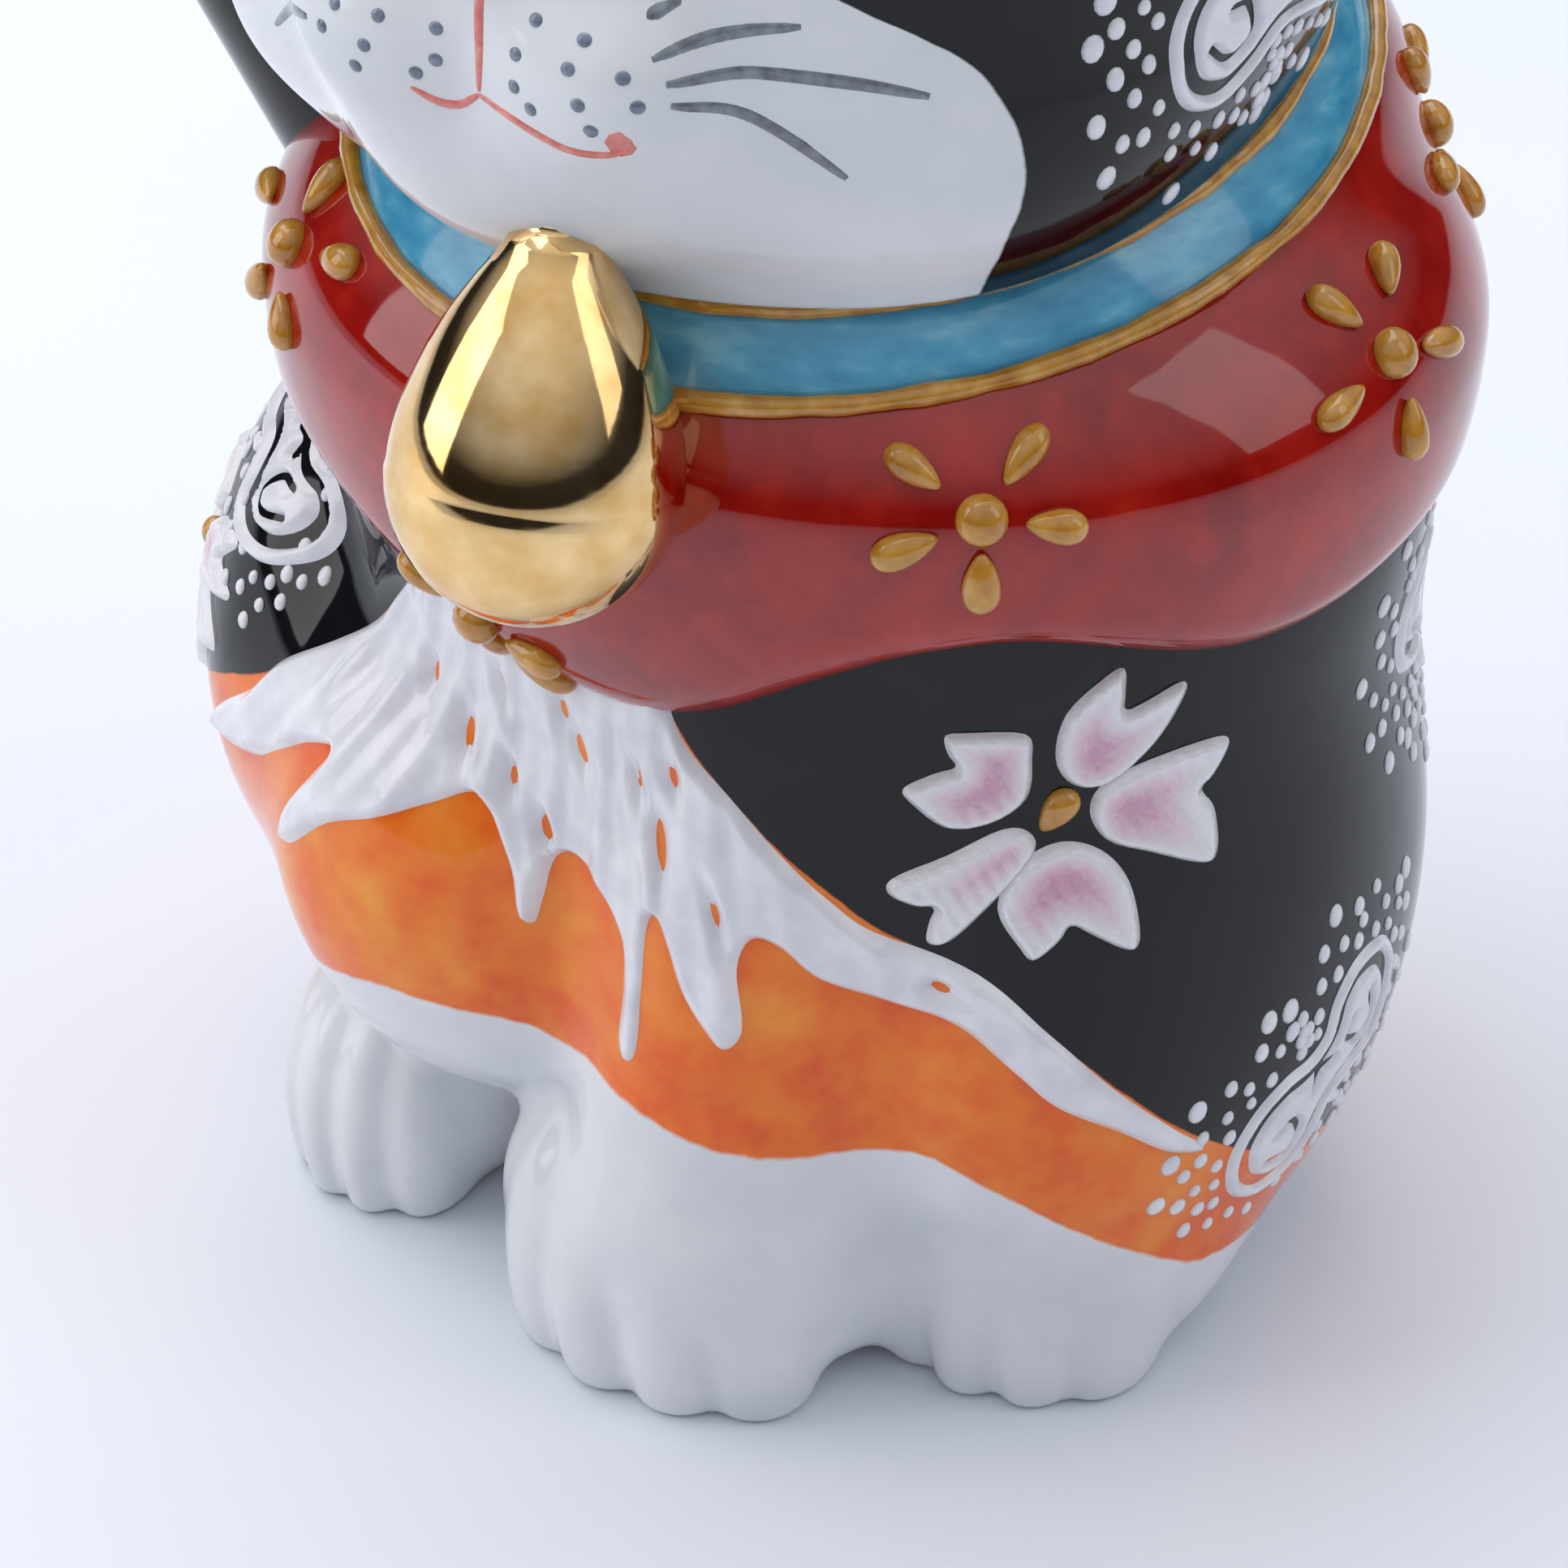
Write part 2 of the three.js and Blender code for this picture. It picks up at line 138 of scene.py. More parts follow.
def hind_left(p):
    return paw(p, (21.0, -11.0, 7.5), (12.0, 12.5, 10.5), 4, 2.0, 0.2)


def neck_ring(p):
    """The upright walls of the neck, just inside the collar's upper cord."""
    ring = np.sqrt((p[0] / (COLLAR_TOP[0] - 0.6)) ** 2 + ((p[1] - COLLAR_Y) / (COLLAR_TOP[1] - 0.6)) ** 2)
    return (ring - 1) * COLLAR_TOP[0]


def neck(p):
    return np.maximum(neck_ring(p), np.abs(collar_height(p) - 4) - 8)


def head_frame(p):
    """The cat's points as the head's own, whose face looks along -Y."""
    x, y = p[0] - HEAD_SHIFT[0], p[1] - HEAD_SHIFT[1]
    c, s = math.cos(HEAD_TURN), math.sin(HEAD_TURN)
    return [x * c - y * s, x * s + y * c, p[2]]


def head(p):
    q = head_frame(p)
    d = egg(q, (0, 0, 107), (36, 33.5, 27))
    d = blend(d, egg(q, (0, -25, 100.5), (18, 11, 11)), 6)
    for side in (-1, 1):
        d = blend(d, egg(q, (side * 6.8, -31.5, 99.5), (7.4, 6.0, 6.2)), 2.2)
    d = blend(d, egg(q, (0, -34.2, 107.6), (3.0, 2.6, 2.2)), 1.6)
    d = blend(d, egg(q, (0, -28, 92), (12, 8, 7)), 5)
    for side in (-1, 1):
        d = blend(d, egg(q, (side * 14, -12, 94), (17, 17, 12)), 6)
    d = blend(d, neck(p), 9)
    room = np.minimum(neck_ring(p), COLLAR_RISE + 0.9 - collar_height(p))
    return carve(d, room, 0.8)


def ear(p, side):
    q = head_frame(p)
    d = limb(q, (side * 19, 0, 124), (side * 24, 0.5, 147), 10.5, 1.6)
    d = carve(d, np.abs(q[1] - 0.5) - 5.2 + 0.12 * (q[2] - 124), 3)
    return carve(d, -ear_hollow(p, side), 1.6)


def ear_hollow(p, side):
    return limb(head_frame(p), (side * 18.6, -7.6, 125), (side * 23.2, -5.2, 141), 6.6, 1.6)


def arm(p):
    d = limb(p, (-29, -2, 72), (-46, -6, 100), 11, 9.5)
    return blend(d, limb(p, (-46, -6, 100), (-48, -11, 122), 9.5, 8.2), 4)


def raised_paw(p):
    d = egg(p, (-47.5, -13.5, 128.5), (9.6, 9.6, 10))
    for k in (-1.5, -0.5, 0.5, 1.5):
        toe = egg(p, (-47.5 + 4.1 * k, -20.6 + 0.5 * abs(k), 125.5 - 0.4 * abs(k)), (2.7, 4.6, 5.2))
        d = blend(d, toe, 1.0)
    return d


def tail(p):
    return limb(p, (8, 26.5, 10), (15.5, 27.5, 30), 7.0, 5.6)


CASTINGS = {  # each cast piece with the softness of its join to the trunk
    "torso_shell": (trunk, 0), "foreleg_left": (foreleg, 4.5), "forepaw_left": (forepaw, 2.2),
    "hind_foot_right": (hind_right, 2.0), "hind_foot_left": (hind_left, 4.5), "tail": (tail, 2.5),
    "raised_arm": (arm, 4.0), "raised_paw": (raised_paw, 2.4), "head_shell": (head, 3.0),
    "ear_right": (lambda p: ear(p, -1), 2.6), "ear_left": (lambda p: ear(p, 1), 2.6),
}


def skin(p, names=None):
    """The whole porcelain skin, all castings run together under the glaze."""
    d = None
    for name, (form, soft) in CASTINGS.items():
        if names is None or name in names:
            d = form(p) if d is None else blend(d, form(p), soft)
    vent = np.sqrt(p[0] ** 2 + (p[1] - VENT_Y) ** 2) - VENT_R
    d = carve(d, -np.maximum(vent, p[2] - VENT_DEPTH), 0.8)
    return carve(d, -p[2], 0.8)


BODY_NAMES = [n for n in CASTINGS if n not in ("head_shell", "ear_right", "ear_left", "raised_paw")]


def body_skin(p):
    return skin(p, BODY_NAMES)


HEM = [(-180, 60), (-120, 61), (-90, 60), (-60, 60.0), (-45, 60), (-25, 55.8), (-3, 51.3), (8, 51.6), (17, 55.4),
       (26, 59.4), (38, 62), (48, 61.8), (60, 58.3), (73, 56.5), (90, 58), (120, 60), (180, 60)]


def bib(p):
    """A full cape, raised behind to meet the collar, with a wavy hem that curls under."""
    angle = np.degrees(np.arctan2(p[0], -p[1]))
    high = egg(p, BIB_MID, BIB_SIZE)
    low = egg(p, BIB_MID, (*BIB_SIZE[:2], BIB_DROP))
    d = np.where(p[2] > BIB_MID[2], high, low)
    d = blend(d, egg(p, *BIB_BACK), 3)
    d = carve(d, smooth_line(angle, HEM, 7) - p[2], 4.5)
    return carve(d, collar_height(p) - 0.2, 0.8)


def collar_height(p):
    """Height over the plane of the collar's lower ring."""
    return p[2] - COLLAR_Z - (p[1] - COLLAR_Y) * COLLAR_DIP


BELL_PROFILE = [(-9.0, 0), (-6.4, 6.3), (-3.4, 8.3), (0, 8.9), (3, 8.55), (6, 7.6), (9, 6.3), (11.4, 4.9),
                (13.4, 3.5), (14.8, 2.5)]  # height along the axis and radius


# ---- meshes ----
def gradient(form, at):
    e = 0.05
    cols = []
    for i in range(3):
        plus, minus = at.copy(), at.copy()
        plus[:, i] += e
        minus[:, i] -= e
        cols.append(form(plus.T) - form(minus.T))
    g = np.stack(cols, 1)
    return g / np.maximum(np.linalg.norm(g, axis=1), 1e-9)[:, None]


def mesh_of(form, low, high, step, settle=2):
    """Closed quads on a form's surface, settled onto it, with the surface's own normals."""
    axes = [np.arange(low[i], high[i] + step, step, dtype=np.float32) for i in range(3)]
    p = [axes[0][:, None, None], axes[1][None, :, None], axes[2][None, None, :]]
    shape = tuple(len(a) for a in axes)
    values = np.clip(np.broadcast_to(form(p), shape), -3 * step, 3 * step).astype(np.float32)
    grid = vdb.FloatGrid(background=3 * step)
    grid.copyFromArray(np.ascontiguousarray(values))
    points, _, quads = grid.convertToPolygons(isovalue=0.0, adaptivity=0.0)
    at = points.astype(np.float64) * step + np.array(low)
    for _ in range(settle):
        at = at - gradient(form, at) * np.clip(form(at.T), -0.5 * step, 0.5 * step)[:, None]
    n = gradient(form, at)
    a, b, c, d = (at[quads[:, k]] for k in range(4))
    if (np.cross(c - a, d - b) * n[quads[:, 0]]).sum() < 0:
        quads = quads[:, ::-1]
    return at, np.asarray(quads), n


def new_object(name, at, faces, material, normals=None, floats=None):
    """A mesh object in metres; normals are per vertex, floats are named per-vertex values."""
    mesh = bpy.data.meshes.new(name)
    mesh.from_pydata((np.asarray(at) * MM).tolist(), [], [list(map(int, f)) for f in faces])
    mesh.polygons.foreach_set("use_smooth", np.ones(len(mesh.polygons), bool))
    for key, values in (floats or {}).items():
        layer = mesh.attributes.new(key, "FLOAT", "POINT")
        layer.data.foreach_set("value", np.asarray(values, np.float32))
    mesh.materials.append(material)
    mesh.update()
    if normals is not None:
        mesh.normals_split_custom_set_from_vertices(normals.tolist())
    obj = bpy.data.objects.new(name, mesh)
    bpy.context.scene.collection.objects.link(obj)
    return obj


def finish_piece(obj, slot, *nodes):
    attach(obj, "root")
    if nodes:
        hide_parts(*nodes)
    return obj


def capped(at, quads, normals, keep):
    """The kept faces as a closed piece: each open rim is drawn in to its own centre."""
    quads = quads[keep]
    used, inverse = np.unique(quads, return_inverse=True)
    quads = inverse.reshape(quads.shape)
    at, normals = at[used], normals[used]
    edges = np.concatenate([quads[:, [k, (k + 1) % 4]] for k in range(4)])
    key = np.sort(edges, 1)
    _, first, count = np.unique(key[:, 0] * len(at) + key[:, 1], return_index=True, return_counts=True)
    rim = edges[first[count == 1]]
    group = {}

    def root(i):
        while group.setdefault(i, i) != i:
            i = group[i]
        return i

    for a, b in rim.tolist():
        group[root(a)] = root(b)
    loops = {}
    for a, b in rim.tolist():
        loops.setdefault(root(a), []).append((a, b))
    faces = quads.tolist()
    extra, extra_n = [], []
    for ring in loops.values():
        members = sorted({i for edge in ring for i in edge})
        mid = at[members].mean(0)
        inward = -normals[members].mean(0)
        spread = np.linalg.norm(at[members] - mid, axis=1).mean()
        extra.append(mid + inward * spread * 0.4)
        extra_n.append(inward)
        hub = len(at) + len(extra) - 1
        faces += [[b, a, hub] for a, b in ring]
    if extra:
        at = np.concatenate([at, extra])
        normals = np.concatenate([normals, extra_n])
    return at, faces, normals


# ---- painted areas, as distances in mm to each brush line ----
ORANGE_HEM = [(-104, 14), (-60, 16), (-40, 18), (-31, 20), (-26, 22.5), (-16, 26.5), (-9.6, 26), (-5.8, 24.4),
              (-2, 25.4), (3.4, 24.8), (8, 23.6), (13.8, 22.7), (18.5, 23), (21, 23.2), (25.7, 20), (31, 15.3),
              (38, 10), (50, 7), (80, 8), (104, 14)]
BLACK_HEM = [(-104, 24), (-70, 26), (-50, 30), (-40, 33.5), (-31, 40.5), (-26, 46), (-22, 52), (-12, 60), (0, 60),
             (5, 52), (11.5, 45.5), (17.5, 40), (22, 37.8), (26, 35), (30.6, 29.4), (34.6, 24.6), (40, 19.5),
             (50, 14), (80, 15), (104, 24)]


MASK_EDGE = [(80, 50), (89, 51), (93, 52.3), (96, 52), (99.6, 49.6), (102.3, 45.7), (104, 39), (106, 33.5),
             (109, 27), (113, 20), (118, 13.5), (123, 8.5), (128, 4), (133, 0), (140, -8)]  # height, degrees


def face_patch(p):
    """Positive in the white mask of the face, negative on the black fur."""
    q = head_frame(p)
    reach = np.hypot(q[0], q[1])
    return (smooth_line(q[2], MASK_EDGE, 1.5) - np.degrees(np.abs(np.arctan2(q[0], -q[1])))) * reach / 57.3


def paint(p, name):
    """Black and orange areas of one cast piece."""
    u = around(p)
    none = np.full(len(p[0]), -9.0)
    if name in ("torso_shell", "foreleg_left", "tail"):
        black = p[2] - smooth_line(u, BLACK_HEM, 1.0)
        orange = p[2] - smooth_line(u, ORANGE_HEM, 0.8)
        return black, orange
    if name in ("forepaw_left", "hind_foot_left", "hind_foot_right"):
        return none, p[2] - smooth_line(u, ORANGE_HEM, 0.8)
    if name == "raised_arm":
        return 118.5 + 1.2 * np.sin(p[0]) - p[2], none
    if name == "head_shell":
        return -face_patch(p), none
    if name.startswith("ear"):
        side = 1 if name == "ear_left" else -1
        inner = ear_hollow(p, side)
        return np.minimum(inner - 0.3, 5), -inner - 1.5
    return none, none


# ---- node helpers ----
def nodes_of(material):
    material.use_nodes = True
    tree = material.node_tree
    tree.nodes.clear()
    return tree


def add(tree, kind, links=None, **settings):
    node = tree.nodes.new(kind)
    for key, value in settings.items():
        if key.startswith("in_"):
            node.inputs[int(key[3:])].default_value = value
        else:
            setattr(node, key, value)
    for slot, source in (links or {}).items():
        tree.links.new(source, node.inputs[slot])
    return node


def math_node(tree, operation, a, b=None, clamp=False):
    node = tree.nodes.new("ShaderNodeMath")
    node.operation = operation
    node.use_clamp = clamp
    for i, v in enumerate((a, b)):
        if v is None:
            continue
        if isinstance(v, (int, float)):
            node.inputs[i].default_value = v
        else:
            tree.links.new(v, node.inputs[i])
    return node.outputs[0]


def group(name, inputs, outputs):
    tree = bpy.data.node_groups.new(name, "ShaderNodeTree")
    for kind, label, value in inputs:
        socket = tree.interface.new_socket(name=label, in_out="INPUT", socket_type=kind)
        socket.default_value = value
    for kind, label in outputs:
        tree.interface.new_socket(name=label, in_out="OUTPUT", socket_type=kind)
    return tree, tree.nodes.new("NodeGroupInput"), tree.nodes.new("NodeGroupOutput")


def ramp(tree, source, stops):
    node = tree.nodes.new("ShaderNodeValToRGB")
    tree.links.new(source, node.inputs[0])
    while len(node.color_ramp.elements) < len(stops):
        node.color_ramp.elements.new(0.5)
    for element, (at, colour) in zip(node.color_ramp.elements, stops):
        element.position = at
        element.color = (*colour, 1)
    return node.outputs[0]


def hue(r, g, b):
    """Display colour, 0 to 255, to linear."""
    return tuple(((c / 255 + 0.055) / 1.055) ** 2.4 if c > 10 else c / 255 / 12.92 for c in (r, g, b))


def mottle_group():
    """Uneven glaze: two sizes of cloud, and a fine ripple for the surface."""
    tree, inp, out = group("uneven glaze", [("NodeSocketFloat", "Cloud per mm", 0.15),
                                            ("NodeSocketFloat", "Stretch", 1.0)],
                           [("NodeSocketFloat", "Cloud"), ("NodeSocketFloat", "Streak"), ("NodeSocketFloat", "Ripple")])
    where = add(tree, "ShaderNodeTexCoord")
    scale = math_node(tree, "MULTIPLY", inp.outputs[0], 1000.0)
    stretch = add(tree, "ShaderNodeCombineXYZ", {0: inp.outputs[1], 1: inp.outputs[1]}, in_2=1.0)
    pulled = add(tree, "ShaderNodeVectorMath", {0: where.outputs["Object"], 1: stretch.outputs[0]},
                 operation="MULTIPLY")
    cloud = add(tree, "ShaderNodeTexNoise", {"Vector": where.outputs["Object"], "Scale": scale})
    cloud.inputs["Detail"].default_value = 3.0
    finer = math_node(tree, "MULTIPLY", scale, 2.6)
    streak = add(tree, "ShaderNodeTexNoise", {"Vector": pulled.outputs[0], "Scale": finer})
    streak.inputs["Detail"].default_value = 4.0
    ripple = add(tree, "ShaderNodeTexNoise", {"Vector": where.outputs["Object"]})
    ripple.inputs["Scale"].default_value = 220.0
    ripple.inputs["Detail"].default_value = 1.0
    for i, node in enumerate((cloud, streak, ripple)):
        tree.links.new(node.outputs[0], out.inputs[i])
    return tree


def edge_group():
    """A painted edge: 0 to 1 across a brush line, slightly uneven."""
    tree, inp, out = group("painted edge", [("NodeSocketFloat", "Distance", 0.0), ("NodeSocketFloat", "Softness", 0.25),
                                            ("NodeSocketFloat", "Wander", 0.3)], [("NodeSocketFloat", "Mask")])
    where = add(tree, "ShaderNodeTexCoord")
    noise = add(tree, "ShaderNodeTexNoise", {"Vector": where.outputs["Object"]})
    noise.inputs["Scale"].default_value = 600.0
    wander = math_node(tree, "MULTIPLY", math_node(tree, "SUBTRACT", noise.outputs[0], 0.5), inp.outputs[2])
    moved = math_node(tree, "ADD", inp.outputs[0], wander)
    mask = math_node(tree, "ADD", math_node(tree, "DIVIDE", moved, inp.outputs[1]), 0.5, clamp=True)
    tree.links.new(mask, out.inputs[0])
    return tree


UNEVEN = mottle_group()
EDGE = edge_group()


def glaze(name, rough=0.08, coat=0.6):
    material = bpy.data.materials.new(name)
    tree = nodes_of(material)
    out = add(tree, "ShaderNodeOutputMaterial")
    shader = add(tree, "ShaderNodeBsdfPrincipled")
    shader.inputs["Roughness"].default_value = rough
    shader.inputs["Coat Weight"].default_value = coat
    shader.inputs["Coat Roughness"].default_value = 0.03
    shader.inputs["IOR"].default_value = 1.52
    tree.links.new(shader.outputs[0], out.inputs[0])
    return material, tree, shader


def ripple_bump(tree, shader, height, distance=0.00015, strength=0.25):
    bump = add(tree, "ShaderNodeBump", {"Height": height})
    bump.inputs["Strength"].default_value = strength
    bump.inputs["Distance"].default_value = distance
    tree.links.new(bump.outputs[0], shader.inputs["Normal"])


def uneven(tree, per_mm=0.15, stretch=1.0):
    node = add(tree, "ShaderNodeGroup", node_tree=UNEVEN)
    node.inputs[0].default_value = per_mm
    node.inputs[1].default_value = stretch
    return node


def edge_mask(tree, attribute, softness=0.25, wander=0.3):
    source = add(tree, "ShaderNodeAttribute", attribute_name=attribute)
    node = add(tree, "ShaderNodeGroup", {0: source.outputs["Fac"]}, node_tree=EDGE)
    node.inputs[1].default_value = softness
    node.inputs[2].default_value = wander
    return node.outputs[0]


def mix(tree, mask, a, b):
    node = add(tree, "ShaderNodeMix", data_type="RGBA")
    for slot, v in ((0, mask), (6, a), (7, b)):
        if isinstance(v, tuple):
            node.inputs[slot].default_value = (*v, 1)
        else:
            tree.links.new(v, node.inputs[slot])
    return node.outputs[2]


def painted_porcelain():
    """White body glaze with black and orange painted areas."""
    material, tree, shader = glaze("painted porcelain", 0.06, 0.0)
    shader.inputs["IOR"].default_value = 1.4
    soft = uneven(tree, 0.11, 1.0)
    wash = uneven(tree, 0.16, 1.0)
    white = ramp(tree, soft.outputs[0], [(0.3, hue(222, 225, 229)), (0.7, hue(236, 238, 241))])
    orange = ramp(tree, wash.outputs[0], [(0.25, hue(232, 84, 46)), (0.45, hue(246, 116, 34)),
                                          (0.6, hue(250, 142, 54)), (0.78, hue(252, 176, 66))])
    brush = ramp(tree, wash.outputs[1], [(0.35, hue(238, 92, 44)), (0.65, hue(250, 146, 56))])
    orange = mix(tree, math_node(tree, "MULTIPLY", soft.outputs[1], 0.6), orange, brush)
    black = ramp(tree, soft.outputs[0], [(0.3, hue(9, 10, 12)), (0.75, hue(19, 21, 25))])
    tone = mix(tree, edge_mask(tree, "orange", 0.35, 0.5), white, orange)
    tone = mix(tree, edge_mask(tree, "black", 0.2, 0.3), tone, black)
    tree.links.new(tone, shader.inputs["Base Color"])
    ripple_bump(tree, shader, soft.outputs[2])
    return material


def red_glaze():
    material, tree, shader = glaze("red bib glaze", 0.05, 0.35)
    pool = uneven(tree, 0.13, 1.0)
    tone = ramp(tree, pool.outputs[0], [(0.3, hue(128, 8, 6)), (0.5, hue(160, 16, 8)), (0.72, hue(190, 40, 22))])
    thin = ramp(tree, pool.outputs[1], [(0.4, hue(146, 12, 8)), (0.7, hue(180, 34, 20))])
    tree.links.new(mix(tree, pool.outputs[1], tone, thin), shader.inputs["Base Color"])
    ripple_bump(tree, shader, pool.outputs[2])
    return material


def pooled(tree, shader, pool, cloud, stops, bump=(0.00015, 0.25), relief=2):
    """Colour from one of the uneven glaze's outputs, and a bump from another."""
    tree.links.new(ramp(tree, pool.outputs[cloud], stops), shader.inputs["Base Color"])
    ripple_bump(tree, shader, pool.outputs[relief], *bump)


def blue_glaze():
    material, tree, shader = glaze("blue collar glaze", 0.09, 0.15)
    pooled(tree, shader, uneven(tree, 0.3, 0.35), 1,
           [(0.3, hue(62, 148, 190)), (0.55, hue(86, 172, 208)), (0.8, hue(136, 204, 226))])
    return material


def ochre_enamel():
    material, tree, shader = glaze("ochre enamel", 0.12, 0.6)
    pooled(tree, shader, uneven(tree, 0.6), 0,
           [(0.3, hue(176, 116, 30)), (0.6, hue(206, 148, 50)), (0.8, hue(224, 176, 92))], (0.0002, 0.4))
    return material


def white_enamel():
    material, tree, shader = glaze("white enamel", 0.22, 0.3)
    pooled(tree, shader, uneven(tree, 0.35), 0, [(0.3, hue(224, 224, 232)), (0.7, hue(242, 242, 246))], (0.0003, 0.5))
    return material


def petal_enamel():
    """Pink brushed into the heart of each petal, white along its rim."""
    material, tree, shader = glaze("petal enamel", 0.16, 0.5)
    pool = uneven(tree, 0.9)
    depth = add(tree, "ShaderNodeAttribute", attribute_name="petal_depth")
    heart = math_node(tree, "MULTIPLY", depth.outputs["Fac"], math_node(tree, "ADD", pool.outputs[1], 0.75), clamp=True)
    tone = ramp(tree, heart, [(0.05, hue(238, 236, 240)), (0.45, hue(232, 206, 218)), (1.0, hue(214, 162, 186))])
    tree.links.new(tone, shader.inputs["Base Color"])
    ripple_bump(tree, shader, pool.outputs[1], 0.0003, 0.4)
    return material


def gold_lustre():
    material, tree, shader = glaze("gold lustre", 0.1, 0.0)
    wear = uneven(tree, 0.35, 1.0)
    tone = ramp(tree, wear.outputs[0], [(0.3, hue(226, 180, 112)), (0.7, hue(248, 214, 158))])
    tree.links.new(tone, shader.inputs["Base Color"])
    shader.inputs["Metallic"].default_value = 1.0
    rough = math_node(tree, "ADD", math_node(tree, "MULTIPLY", wear.outputs[1], 0.1), 0.02)
    tree.links.new(rough, shader.inputs["Roughness"])
    ripple_bump(tree, shader, wear.outputs[2], 0.0002, 0.16)
    return material


def line_enamel(name, dark, light):
    material, tree, shader = glaze(name, 0.15, 0.4)
    pooled(tree, shader, uneven(tree, 1.2), 0, [(0.3, hue(*dark)), (0.7, hue(*light))], (0.0001, 0.3))
    return material


PORCELAIN = painted_porcelain()
RED = red_glaze()
BLUE = blue_glaze()
OCHRE = ochre_enamel()
WHITE = white_enamel()
PETAL = petal_enamel()
GOLD = gold_lustre()
GREY_LINE = line_enamel("grey whisker line", (96, 100, 108), (140, 146, 154))
SLATE_DOT = line_enamel("slate muzzle dot", (96, 106, 124), (132, 142, 160))
CORAL_LINE = line_enamel("coral mouth line", (214, 108, 98), (238, 150, 138))
BLACK_LINE = line_enamel("black eye line", (12, 12, 14), (24, 24, 28))
EYE_GOLD = line_enamel("amber eye", (196, 138, 40), (226, 178, 84))


# ---- the porcelain castings ----
def make_castings():
    at, quads, normals = mesh_of(skin, (-59, -44, -2), (42, 37, 155), SKIN_VOXEL)
    mids = at[quads].mean(1).T
    own = np.stack([form(mids) for form, _ in CASTINGS.values()])
    own[0] -= 0.6  # the trunk keeps the joins on its own side
    label = own.argmin(0)
    for k, name in enumerate(CASTINGS):
        points, faces, n = capped(at, quads, normals, label == k)
        black, orange = paint(points.T, name)
        obj = new_object(name + "_skin", points, faces, PORCELAIN, n, {"black": black, "orange": orange})
        white = "paw" in name or "foot" in name or name == "head_shell"
        finish_piece(obj, "white_glaze" if white else "black_glaze", name)


def make_bib():
    at, quads, normals = mesh_of(bib, (-42, -39, 50), (43, 39, 93), SKIN_VOXEL)
    finish_piece(new_object("bib_cape", at, quads, RED, normals), "red_glaze", "bib")


def on_collar(angle, height, radii):
    """Points round the collar: angle from the front, height over the lower ring's plane."""
    x, y = radii[0] * np.sin(angle), -radii[1] * np.cos(angle)
    return np.stack([x, y + COLLAR_Y, COLLAR_Z + height + y * COLLAR_DIP], -1)


def make_collar_band():
    """Blue band: a shallow cone that swells a little between its two cords."""
    turns, rows = 180, 7
    rings = []
    angle = np.linspace(0, 2 * math.pi, turns, endpoint=False)
    for k in range(rows):
        t = k / (rows - 1)
        swell = 0.35 * math.sin(math.pi * t) - 0.15
        radii = [low + (top - low) * t + swell for low, top in zip(COLLAR_LOW, COLLAR_TOP)]
        rings.append(on_collar(angle, COLLAR_RISE * t, radii))
    for height in (COLLAR_RISE, 0.0):
        rings.append(on_collar(angle, height, [r - 3.4 for r in COLLAR_TOP]))
    points = np.concatenate(rings)
    faces = []
    for j in range(len(rings)):
        for k in range(turns):
            a, b = j * turns + k, j * turns + (k + 1) % turns
            up = (j + 1) % len(rings) * turns
            faces.append((a, b, up + (k + 1) % turns, up + k))
    finish_piece(new_object("collar_band_glaze", points, faces, BLUE), "blue_glaze", "collar_band")


def lathe(profile, turns):
    """A closed turned form from (height, radius) rows; its first and last rows are its two poles."""
    points = [(0, 0, profile[0][0])]
    for z, r in profile[1:-1]:
        points += [(r * math.sin(t), -r * math.cos(t), z) for t in np.linspace(0, 2 * math.pi, turns, False)]
    points.append((0, 0, profile[-1][0]))
    last = len(points) - 1
    faces = []
    for k in range(turns):
        nxt = (k + 1) % turns
        faces.append((0, 1 + nxt, 1 + k))
        for j in range(len(profile) - 3):
            a, b = 1 + j * turns, 1 + (j + 1) * turns
            faces.append((a + k, a + nxt, b + nxt, b + k))
        faces.append((last - turns + k, last - turns + nxt, last))
    return np.array(points), faces


def bell_place(points):
    """From the bell's own axis to where it leans back on the collar."""
    c, s = math.cos(BELL_LEAN), math.sin(BELL_LEAN)
    x, y, z = points.T
    return np.stack([x, y * c + z * s, -y * s + z * c], 1) + BELL_MID


